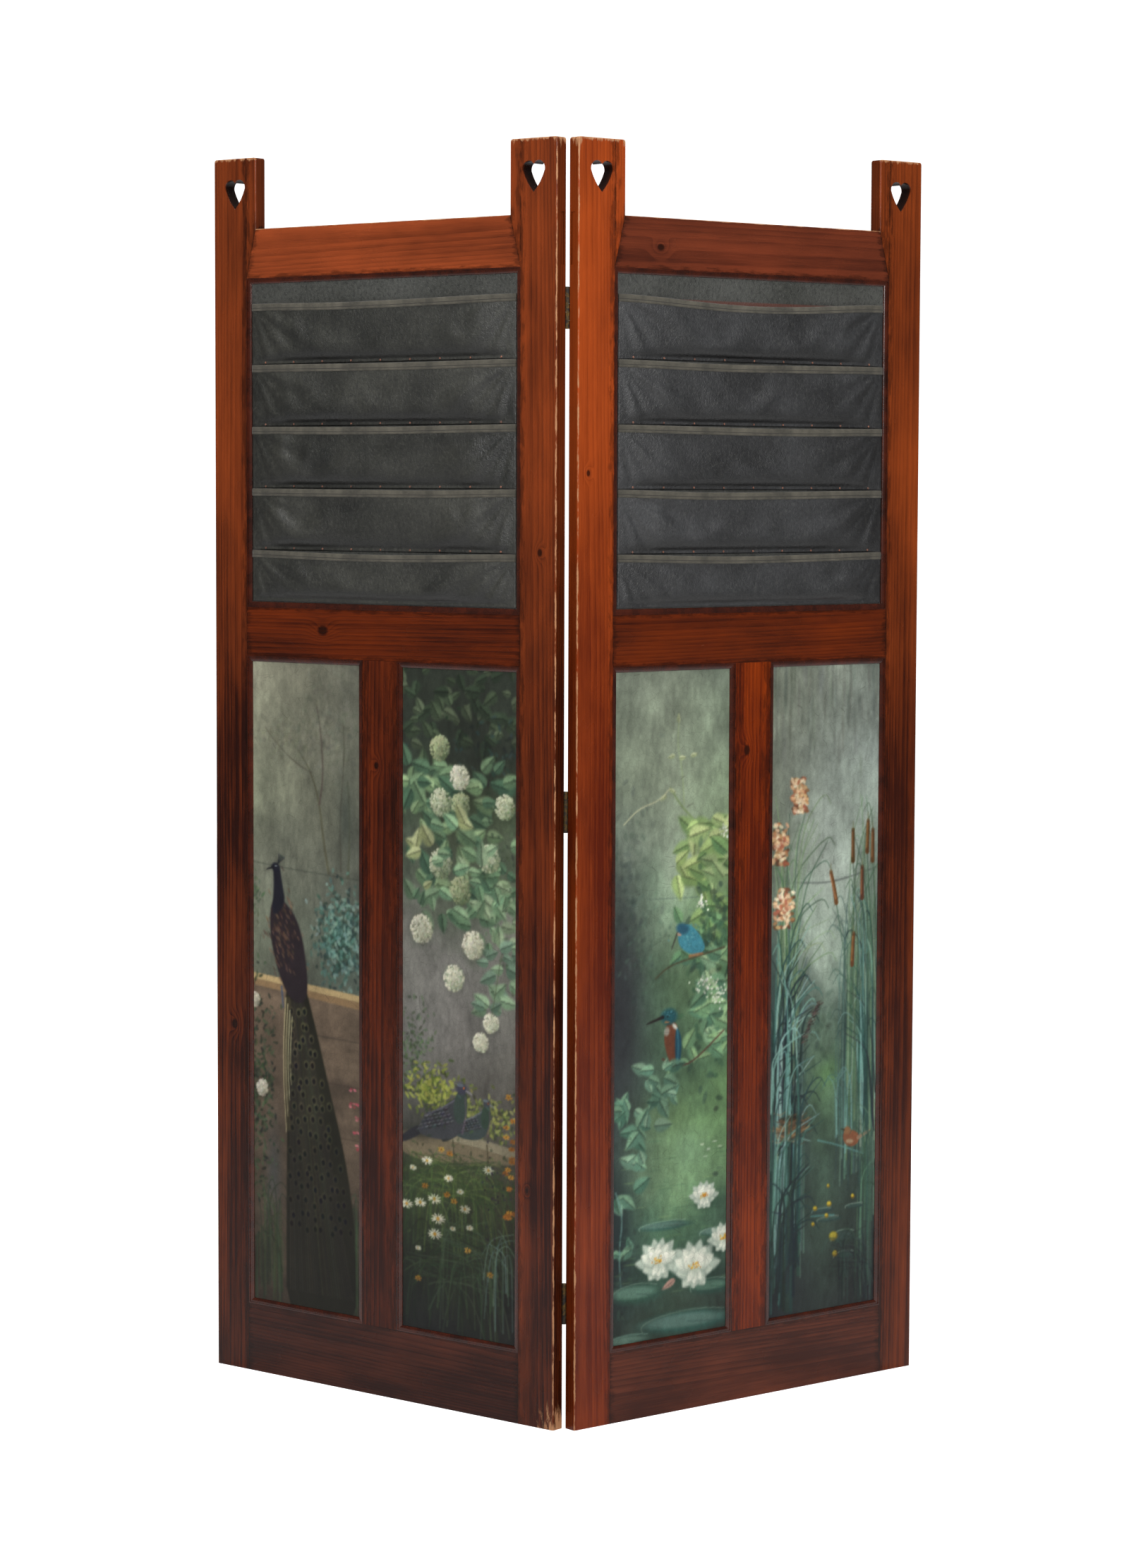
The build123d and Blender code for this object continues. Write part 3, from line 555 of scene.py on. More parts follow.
def hang(grids):
    """The grids after they settle, held along every edge and at the hems."""
    start, held, faces, first = [], [], [], 0
    for grid in grids:
        rows, columns = grid.shape[:2]
        fixed = np.zeros((rows, columns), bool)
        fixed[:3], fixed[-1], fixed[:, 0], fixed[:, -1] = True, True, True, True
        start.append(grid.reshape(-1, 3) * (1, -1, 1))
        held.append(fixed.ravel())
        faces += (np.array(grid_faces(rows, columns)) + first).tolist()
        first += rows * columns
    mesh = bpy.data.meshes.new("hanging")
    mesh.from_pydata((np.concatenate(start) * HANG_SCALE).tolist(), [], faces)
    body = bpy.data.objects.new("hanging", mesh)
    bpy.context.scene.collection.objects.link(body)
    group = body.vertex_groups.new(name="tacked")
    group.add(np.flatnonzero(np.concatenate(held)).tolist(), 1.0, "REPLACE")
    cloth = body.modifiers.new("cloth", "CLOTH")
    cloth.settings.vertex_group_mass = "tacked"
    cloth.settings.quality = 6
    cloth.settings.mass = 0.25
    cloth.settings.tension_stiffness = cloth.settings.compression_stiffness = 30
    cloth.settings.shear_stiffness = 8
    cloth.settings.bending_stiffness = 2.5
    cloth.settings.air_damping = 3
    cloth.settings.shrink_min = 0.001  # drawn a little tight, so the creases run from the corners
    cloth.collision_settings.use_collision = False
    cloth.point_cache.frame_end = HANG_FRAMES
    for step in range(1, HANG_FRAMES + 1):
        bpy.context.scene.frame_set(step)
    settled = body.evaluated_get(bpy.context.evaluated_depsgraph_get()).data
    points = np.empty(len(settled.vertices) * 3)
    settled.vertices.foreach_get("co", points)
    points = points.reshape(-1, 3) / HANG_SCALE * (1, -1, 1)
    bpy.data.objects.remove(body)
    bpy.context.scene.frame_set(1)
    sizes = np.cumsum([grid.shape[0] * grid.shape[1] for grid in grids])[:-1]
    return [part.reshape(grid.shape) for part, grid in zip(np.split(points, sizes), grids)]


pockets = {}
for seed, side in enumerate(SIDES):
    rng = np.random.default_rng(20 + seed)
    starts = [pocket_start(side, number, rng) for number in range(5)]
    hung = hang(starts)
    room = BELLY_LIMIT - BACKING
    for grid in hung:
        out = grid[:, :, 1] - BACKING + drag_creases(grid, rng)
        out = np.where(out > room * 0.7, room * (0.7 + 0.3 * np.tanh((out / room - 0.7) / 0.3)), out)
        grid[:, :, 1] = BACKING + np.maximum(out, CLOTH / 2 + TOUCHING)
    pockets[side] = list(zip(starts, hung))
    moved = max(np.abs(grid - start).max() for start, grid in pockets[side])
    print(f"{side} pockets hung; the cloth moved up to {moved / MM:.1f} mm")

# %% [markdown]
# The settled points are 5 mm apart, so a smooth pass puts one more between each two without moving any. Each strip
# then gets its thickness. The tape is folded over the mouth: it follows the cloth's top few rows down the front,
# over the edge and down the back.

# %% Cloth and tape meshes
def refine(grid):
    """Twice as fine both ways, through the same points."""
    for axis in (0, 1):
        grid = np.moveaxis(grid, axis, 0)
        padded = np.concatenate([2 * grid[:1] - grid[1:2], grid, 2 * grid[-1:] - grid[-2:-1]])
        middle = (9 * (padded[1:-2] + padded[2:-1]) - padded[:-3] - padded[3:]) / 16
        finer = np.empty((len(grid) * 2 - 1, *grid.shape[1:]))
        finer[::2], finer[1::2] = grid, middle
        grid = np.moveaxis(finer, 0, axis)
    return grid


def outward(grid):
    """Unit vectors pointing forwards from a grid of (u, f, z) points."""
    out = np.cross(np.gradient(grid, axis=0), np.gradient(grid, axis=1))
    return out / np.linalg.norm(out, axis=2, keepdims=True)


def thick_sheet(grid, thickness):
    """A closed sheet about a grid: its points, and faces wound for the right leaf."""
    rows, columns = grid.shape[:2]
    half = outward(grid) * thickness / 2
    points = np.concatenate([(grid + half).reshape(-1, 3), (grid - half).reshape(-1, 3)])
    count = rows * columns
    front = np.array(grid_faces(rows, columns))
    rim = grid_rim(rows, columns)
    after = np.roll(rim, -1)
    edge = np.stack([after, rim, rim + count, after + count], 1)
    return points, np.concatenate([front, front[:, ::-1] + count, edge]).tolist()


def leathercloth(name, colour, sheen):
    """Black-green coated cloth with a pressed grain, paler in clouds of painted sheen and darker as painted shade
    where it faces down.
    """
    material, tree = new_material(name)
    at = here(tree)
    grain = add(tree, "ShaderNodeTexVoronoi", {"Vector": at, "Scale": 700.0}, out="Distance")
    cloud = noise(tree, at, 9.0, 6.0, 0.6)
    dust = noise(tree, at, 190.0, 3.0, 0.75)
    # Painted sheen: random clouds of the cloth are lightened towards the sheen colour.
    share = stretch(tree, cloud, 0.3, 0.7)
    base = blend(tree, share, linear(colour), linear(sheen))
    specks = stretch(tree, dust, 0.54, 0.76, last=0.2)
    base = blend(tree, specks, base, linear("#77766d"))
    hollows = stretch(tree, dust, 0.5, 0.34, last=0.6)
    base = blend(tree, hollows, base, linear("#0a0a09"))
    # Painted shade: cloth that faces downwards, where each pocket's belly turns back above the next tape, is
    # darkened.
    facing = add(tree, "ShaderNodeNewGeometry", out="Normal")
    upwards = add(tree, "ShaderNodeSeparateXYZ", {0: facing}, out="Z")
    under = stretch(tree, upwards, 0.04, -0.32, last=0.7)
    base = blend(tree, under, base, linear("#080807"))
    rough = stretch(tree, cloud, 0.3, 0.7, 0.38, 0.56)
    crumple = noise(tree, at, 230.0, 3.0, 0.7)
    height = calc(tree, "MULTIPLY_ADD", crumple, 3.0, grain)
    bump = bumps(tree, height, 0.6, 0.4 * MM)
    finish_material(tree, Base_Color=base, Roughness=rough, Normal=bump, IOR=1.5, Specular_IOR_Level=0.8)
    return material


TAPE_DEPTH = 11 * MM
STITCH_LINE = 8.6 * MM
TWILL = 1.1 * MM  # from one rib to the next


def binding_tape():
    """Olive twill tape with a stitched line. Its mesh carries "cut": how far along it and down it a point is."""
    material, tree = new_material("Olive twill tape")
    cut = add(tree, "ShaderNodeAttribute", out="Vector", attribute_name="cut")
    along = add(tree, "ShaderNodeSeparateXYZ", {0: cut}, out="X")
    down = add(tree, "ShaderNodeSeparateXYZ", {0: cut}, out="Y")
    slant = calc(tree, "MULTIPLY_ADD", down, 1.0, along)
    rib = calc(tree, "MULTIPLY", slant, tau / TWILL)
    rib = calc(tree, "SINE", rib)
    from_line = calc(tree, "SUBTRACT", down, STITCH_LINE)
    from_line = calc(tree, "ABSOLUTE", from_line)
    stitch = stretch(tree, from_line, 0.7 * MM, 0.2 * MM)
    stains = noise(tree, cut, 28.0, 6.0, 0.65)
    share = stretch(tree, stains, 0.35, 0.68)
    base = blend(tree, share, linear("#3b382f"), linear("#625d50"))
    base = blend(tree, stitch, base, linear("#26231d"))
    height = calc(tree, "MULTIPLY_ADD", stitch, -1.5, rib)
    bump = bumps(tree, height, 0.5, 0.15 * MM)
    finish_material(tree, Base_Color=base, Roughness=0.75, Normal=bump, Sheen_Weight=0.15)
    return material


TAPE_MATERIAL = binding_tape()
CLOTH_MATERIALS = {
    "left": leathercloth("Green-black leathercloth", "#191a16", "#36362e"),
    "right": leathercloth("Blue-black leathercloth", "#171718", "#323335"),
}
for side in SIDES:
    for number, (start, grid) in enumerate(pockets[side]):
        node = f"{side}_{POCKETS[number]}"
        grid = refine(grid)
        cloth = new_piece(f"{node}_cloth", side, *thick_sheet(grid, CLOTH), CLOTH_MATERIALS[side])
        rows = round(TAPE_DEPTH / (MESH_STEP / 2)) + 1
        lap = (CLOTH + TAPE) / 2
        front = (grid + outward(grid) * lap)[-rows:]
        back = (grid - outward(grid) * lap)[:-rows:-1]
        fold = grid[-1:] + np.array([0, 0, lap])
        strip = np.concatenate([front, fold, back])
        points, faces = thick_sheet(strip, TAPE)
        tape = new_piece(f"{node}_tape", side, points, faces, TAPE_MATERIAL)
        down = np.concatenate([[0], np.cumsum(np.linalg.norm(np.diff(strip.mean(1), axis=0), axis=1))])
        cut = np.stack(np.broadcast_arrays(strip[:, :, 0], (rows * MESH_STEP / 2 - down)[:, None], 0.0), 2)
        values = np.concatenate([cut.reshape(-1, 3)] * 2).astype(np.float32)
        tape.data.attributes.new("cut", "FLOAT_VECTOR", "POINT").data.foreach_set("vector", values.ravel())
        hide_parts(node)
        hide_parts(f"{side}_pocket_bindings")
print("ten pockets and their tapes")

# %% [markdown]
# Behind the pockets a flat piece of the same cloth covers the board. Below the first mouth it is an unbleached
# lining that has gone brown, seen wherever a tape has dropped.

# %% The backing cloth
for side in SIDES:
    backing = leathercloth(f"Backing leathercloth {side}", "#383934", "#4a4b46")
    tree = backing.node_tree
    shader = next(n for n in tree.nodes if n.type == "BSDF_PRINCIPLED")
    height = add(tree, "ShaderNodeSeparateXYZ", {0: here(tree)}, out="Z")
    mouth = leaf_box(side, POCKETS[0])[1][2]
    below = calc(tree, "SUBTRACT", mouth - 30 * MM, height)
    below = calc(tree, "ABSOLUTE", below)
    lining = stretch(tree, below, 27 * MM, 25 * MM)
    cloth = shader.inputs["Base Color"].links[0].from_socket
    mixed = blend(tree, lining, cloth, linear("#5a3226"))
    tree.links.new(mixed, shader.inputs["Base Color"])
    dress(frame["nodes"][f"{side}_pocket_backing_cloth"], backing)
print("backing cloths")

# %% [markdown]
# ## The painted boards
# The lower boards are thin pine, primed and painted in oils: soft garden scenes of the kind an amateur would copy
# from a manual, under old varnish. An oil painting is built in order. Thin washes set the light, broad soft masses
# come next, and the last small dabs are thick enough to feel. The code paints in the same order, in millimetres
# from the top left of what shows. Each mark covers what is under it and leaves some height, and the board's front
# is a fine grid that takes both the colour and the height.

# %% A painter's marks
PAINT_STEP = 1.55  # mm between points, about one bristle's mark
LAP = 7.7  # mm of board hidden by the moulding on each side
PANEL = leaf_box("right", "painted_panel_inner")
BOARD_WIDTH, BOARD_HEIGHT = ((PANEL[1] - PANEL[0]) / MM)[[0, 2]]
SIGHT_WIDTH, SIGHT_HEIGHT = BOARD_WIDTH - 2 * LAP, BOARD_HEIGHT - 2 * LAP
XS = np.linspace(-LAP, BOARD_WIDTH - LAP, round(BOARD_WIDTH / PAINT_STEP))
YS = np.linspace(-LAP, BOARD_HEIGHT - LAP, round(BOARD_HEIGHT / PAINT_STEP))


def rounded(points, closed=False):
    """A line through points with its corners cut smooth."""
    points = np.array(points, float)
    for _ in range(2):
        before, after = (points, np.roll(points, -1, 0)) if closed else (points[:-1], points[1:])
        cut = np.stack([before * 0.75 + after * 0.25, before * 0.25 + after * 0.75], 1).reshape(-1, 2)
        points = cut if closed else np.concatenate([points[:1], cut, points[-1:]])
    return points


def window(xs, ys, margin):
    """The part of the grid within a margin of some points."""
    rows = np.searchsorted(YS, [min(ys) - margin, max(ys) + margin])
    columns = np.searchsorted(XS, [min(xs) - margin, max(xs) + margin])
    return slice(*rows), slice(*columns)


class Painting:
    """Paint on one board. Places and sizes are in mm, and angles in radians clockwise from the right."""

    def __init__(self, seed):
        self.rng = np.random.default_rng(seed)
        self.x, self.y = np.meshgrid(XS, YS)
        self.colour = np.zeros((*self.x.shape, 3))
        self.relief = np.zeros(self.x.shape)

    def clouds(self, wide, tall, octaves=4):
        """Smooth noise of unit spread, its largest shapes wide by tall."""
        total = np.zeros(self.x.shape)
        for octave in range(octaves):
            steps = [(axis - axis[0]) / size * 2**octave for axis, size in ((XS, wide), (YS, tall))]
            lattice = self.rng.standard_normal((int(steps[1][-1]) + 2, int(steps[0][-1]) + 2))
            (i, a), (j, b) = [(s.astype(int), s % 1) for s in steps]
            a, b = a * a * (3 - 2 * a), (b * b * (3 - 2 * b))[:, None]
            across = lattice[:, i] * (1 - a) + lattice[:, i + 1] * a
            total += (across[j] * (1 - b) + across[j + 1] * b) / 1.6**octave
        return total / total.std()

    def lay(self, where, cover, colour, body):
        """Lays colour and thickness over part of the board, as far as each point is covered."""
        if np.ndim(colour) == 1:
            colour = colour * (1 + self.rng.normal(0, 0.05)) + self.rng.normal(0, 0.012, 3)
        self.colour[where] += cover[..., None] * (np.clip(colour, 0, 1) - self.colour[where])
        self.relief[where] += cover * (body - 0.5 * self.relief[where])

    def wash(self, stops):
        """Colours at the left, middle and right of the board, at heights from the top."""
        heights = [height for height, _ in stops]
        thirds = np.array([[pigment(c) for c in colours.split()] for _, colours in stops])
        share = np.clip(XS / SIGHT_WIDTH, 0, 1) * 2
        wander = np.clip(self.y + 14 * self.clouds(70, 60), 0, SIGHT_HEIGHT)
        for channel in range(3):
            columns = [np.interp(wander, heights, thirds[:, k, channel]) for k in range(3)]
            left = columns[0] * (1 - share) + columns[1] * share
            right = columns[1] * (2 - share) + columns[2] * (share - 1)
            self.colour[..., channel] = np.where(share < 1, left, right)
        brush = 0.028 * self.clouds(5, 20) + 0.045 * self.clouds(40, 60)
        self.colour *= 1 + brush[..., None]

    def dab(self, x, y, length, width, angle, colour, cover=0.85, body=0.12):
        """One press of the brush."""
        where = window([x], [y], length / 2 + width)
        dx, dy = self.x[where] - x, self.y[where] - y
        a = (dx * cos(angle) + dy * sin(angle)) / (length / 2)
        b = (dy * cos(angle) - dx * sin(angle)) / (width / 2)
        self.lay(where, cover * np.clip((1.2 - np.hypot(a, b)) / 0.5, 0, 1), pigment(colour), body)

    def haze(self, x, y, width, height, colour, cover):
        """A soft-edged patch with no brush marks."""
        where = window([x - width, x + width], [y - height, y + height], 0)
        fall = ((self.x[where] - x) / width) ** 2 + ((self.y[where] - y) / height) ** 2
        self.lay(where, cover * np.exp(-3 * fall), pigment(colour), 0)

    def leaf(self, x, y, length, width, angle, light, dark):
        """A pointed leaf from its stalk, lit on its upper half."""
        where = window([x], [y], length)
        dx, dy = self.x[where] - x, self.y[where] - y
        a = (dx * cos(angle) + dy * sin(angle)) / length
        b = (dy * cos(angle) - dx * sin(angle)) / (width / 2)
        half = np.sin(pi * np.clip(a, 0, 1) ** 0.62) ** 0.72
        upper = b * cos(angle) < 0
        shade = 1 + self.rng.normal(0, 0.09)
        deep = 0.65 * pigment(dark) + 0.35 * pigment(light)
        colour = np.where(upper[..., None], pigment(light), deep) * shade
        colour = colour * (1 - 0.25 * (np.abs(b) < 0.12))[..., None]
        self.lay(where, np.clip((half - np.abs(b)) * 2.5, 0, 1) * (a > 0) * 0.92, colour, 0.14)

    def distances(self, where, path):
        """Each point's distance to each piece of a path, and how far along the path that is."""
        px, py = self.x[where][..., None], self.y[where][..., None]
        a, d = path[:-1], np.diff(path, axis=0)
        t = ((px - a[:, 0]) * d[:, 0] + (py - a[:, 1]) * d[:, 1]) / np.maximum((d**2).sum(1), 1e-9)
        t = np.clip(t, 0, 1)
        return np.hypot(px - a[:, 0] - t * d[:, 0], py - a[:, 1] - t * d[:, 1]), (np.arange(len(a)) + t) / len(a)

    def stroke(self, points, widths, colour, cover=0.9, body=0.12):
        """A drawn line, its width going evenly from the first to the second."""
        path = rounded(points)
        where = window(path[:, 0], path[:, 1], max(widths) + 2)
        distance, share = self.distances(where, path)
        inside = ((widths[0] + (widths[1] - widths[0]) * share) / 2 - distance).max(-1)
        self.lay(where, cover * np.clip(inside / 1.2 + 0.7, 0, 1), pigment(colour), body)

    def shape(self, points, colour, soft=2.0, cover=1.0, body=0.06):
        """A filled shape with a soft edge."""
        ring = rounded(points, closed=True)
        ring = np.concatenate([ring, ring[:1]])
        where = window(ring[:, 0], ring[:, 1], soft)
        distance = self.distances(where, ring)[0].min(-1)
        px, py = self.x[where][..., None], self.y[where][..., None]
        (ax, ay), (bx, by) = ring[:-1].T, ring[1:].T
        rise = np.where(by == ay, 1e-9, by - ay)
        crossed = ((ay > py) != (by > py)) & (px < (bx - ax) * (py - ay) / rise + ax)
        signed = np.where(crossed.sum(-1) % 2, distance, -distance)
        self.lay(where, cover * np.clip(signed / soft + 0.5, 0, 1), pigment(colour), body)

    def pick(self, colours):
        """One of the colours, by chance."""
        return colours.split()[self.rng.integers(len(colours.split()))]

    def foliage(self, centre, spread, count, size, colours, cover=0.8):
        """A mass of dabs, dark first and light last."""
        ordered = colours.split()
        for n in range(count):
            x, y = self.rng.normal(centre, spread)
            colour = ordered[min(int(n / count * len(ordered) + self.rng.normal(0, 0.5)), len(ordered) - 1)]
            angle = self.rng.uniform(0, tau)
            self.dab(x, y, size * self.rng.uniform(0.6, 1.3), size * 0.5, angle, colour, cover, 0.1)

    def leaves(self, centre, spread, count, length, pairs, lean=0.4, scatter=0.8):
        """Leaves over a patch. pairs are light and dark colours."""
        choices = pairs.split()
        for _ in range(count):
            x, y = self.rng.uniform(-1, 1, 2) * spread + centre
            k = self.rng.integers(len(choices) // 2) * 2
            size = length * self.rng.uniform(0.6, 1.2)
            angle = self.rng.normal(lean, scatter) + pi * (self.rng.random() < 0.4)
            self.leaf(x, y, size, size * 0.72, angle, choices[k], choices[k + 1])

    def ball(self, x, y, radius, light, dark):
        """A round head of many small florets."""
        self.haze(x + 2, y + 4, radius * 1.3, radius * 1.3, "#20281f", 0.6)
        self.dab(x, y, 1.9 * radius, 1.9 * radius, 0, dark, 1.0, 0.2)
        for _ in range(int(radius * 12)):
            r, a = radius * self.rng.random() ** 0.6, self.rng.uniform(0, tau)
            dx, dy = r * cos(a), r * sin(a)
            share = np.clip(0.66 - (dx * 0.6 + dy * 0.6) / radius * 0.6 + self.rng.normal(0, 0.14), 0, 1)
            mixed = pigment(dark) * (1 - share) + pigment(light) * share
            tone = "#" + "".join(f"{int(255 * min(max(c, 0), 1)):02x}" for c in mixed)
            self.dab(x + dx, y + dy, 4.2, 3.2, self.rng.uniform(0, pi), tone, 0.95, 0.35)

    def daisy(self, x, y, radius, petals, colour, heart, squash=0.6):
        """An open flower seen aslant."""
        for k in range(petals):
            a = tau * k / petals + self.rng.normal(0, 0.1)
            reach = (radius * 0.6 * cos(a), radius * 0.6 * squash * sin(a))
            angle = np.arctan2(reach[1], reach[0])
            self.dab(x + reach[0], y + reach[1], radius * (0.45 + 0.4 * abs(cos(a))), 2.4, angle, colour, 0.9, 0.3)
        self.dab(x, y, radius * 0.45, radius * 0.4, 0, heart, 1.0, 0.35)

    def petal(self, x, y, length, width, angle, pale, shade):
        """A cupped petal, pale along its middle and darker at its rim and foot."""
        where = window([x], [y], length)
        dx, dy = self.x[where] - x, self.y[where] - y
        a = (dx * cos(angle) + dy * sin(angle)) / length
        b = np.abs(dy * cos(angle) - dx * sin(angle)) / (width / 2)
        half = np.sin(pi * np.clip(a, 0, 1) ** 0.9) ** 0.6
        deep = np.clip((b / np.maximum(half, 0.05)) ** 3 + 0.7 * (1 - a) ** 2, 0, 1)[..., None]
        colour = pigment(pale) * (1 - deep) + pigment(shade) * deep
        self.lay(where, np.clip((half - b) * 2.4, 0, 1) * (a > 0), colour, 0.2)

    def lily(self, x, y, radius):
        """A water lily from just above: low outer petals, upright ones behind and short ones round its heart."""
        rows = (
            (6, -2.95, -0.2, 0.98, "#b9c5b4", "#5f7468"),
            (5, 0.15, 2.99, 0.66, "#c9d2c0", "#6b8074"),
            (5, -2.7, -0.45, 0.8, "#e3e6d4", "#8a9b8c"),
            (4, -2.3, -0.85, 0.56, "#f2f1e0", "#a9b5a2"),
        )
        for count, start, end, reach, pale, shade in rows:
            for angle in np.linspace(start, end, count):
                length = radius * reach * (0.8 + 0.2 * abs(cos(angle)))
                self.petal(x, y, length, radius * 0.54, angle + self.rng.normal(0, 0.05), pale, shade)
        for _ in range(34):
            dx, dy = self.rng.normal(0, radius * 0.1, 2)
            self.dab(x + dx, y + dy * 0.7 - radius * 0.08, 3, 2, 1.2, self.pick("#d79a2c #e8bf4a #b86f22"), 0.95, 0.4)
        for angle in (0.9, 1.57, 2.2):
            self.petal(x, y - 1, radius * 0.42, radius * 0.34, angle, "#eef0de", "#9fae9c")

    def pad(self, x, y, width, height, light="#7a9986", dark="#35544a"):
        """A floating leaf, paler along its far edge."""
        self.dab(x, y, width, height, 0.03, dark, 0.9, 0.1)
        self.dab(x - width * 0.05, y - height * 0.08, width * 0.86, height * 0.62, 0.03, light, 0.6, 0.1)
        self.stroke([(x, y), (x + width * 0.4, y + height * 0.2)], (1.2, 0.8), dark, 0.6)
        rim = [(x + width / 2 * cos(a), y + height / 2 * sin(a)) for a in np.linspace(2.8, 5.6, 7)]
        self.stroke(rim, (1.2, 1.2), "#93ad98", 0.6, 0.2)

    def blades(self, base, tops, count, width, colours, cover=0.85):
        """Bent grass or reeds from a patch of ground to a patch of air, each patch x0, x1, y0, y1."""
        for _ in range(count):
            x0, y0 = self.rng.uniform(base[0], base[1]), self.rng.uniform(base[2], base[3])
            x1, y1 = self.rng.uniform(tops[0], tops[1]), self.rng.uniform(tops[2], tops[3])
            bend = (x1 - x0) * self.rng.uniform(0.05, 0.35)
            path = [(x0, y0), (x0 + bend * 0.4, y0 + (y1 - y0) * 0.5), (x0 + bend, y0 + (y1 - y0) * 0.85), (x1, y1)]
            if self.rng.random() < 0.35:
                path.append((x1 + (14 if x1 > x0 else -14), y1 + 20))
            self.stroke(path, (width * self.rng.uniform(0.6, 1.3), 0.6), self.pick(colours), cover)

    def darken(self, top, bottom, least):
        """Dims the board more and more towards its foot."""
        self.colour *= np.interp(self.y, [top, bottom], [1, least])[..., None]

    def mellow(self):
        """Varnish and a century of rubbing soften hard edges and leave the surface a little uneven."""
        soft = self.colour
        for axis in (0, 1):
            soft = (np.roll(soft, 1, axis) + 2 * soft + np.roll(soft, -1, axis)) / 4
        self.colour += 0.6 * (soft - self.colour)
        self.colour *= (1 + 0.022 * self.clouds(6, 9) + 0.045 * self.clouds(70, 90))[..., None]


# %% [markdown]
# The first board is a long-tailed bird on a garden wall in mist. Its back and tail are nearly one dark shape, so it
# is drawn as shapes and then given a few marks for feathers. The second is snowball blossom hanging over a wall,
# with two doves on a ledge.

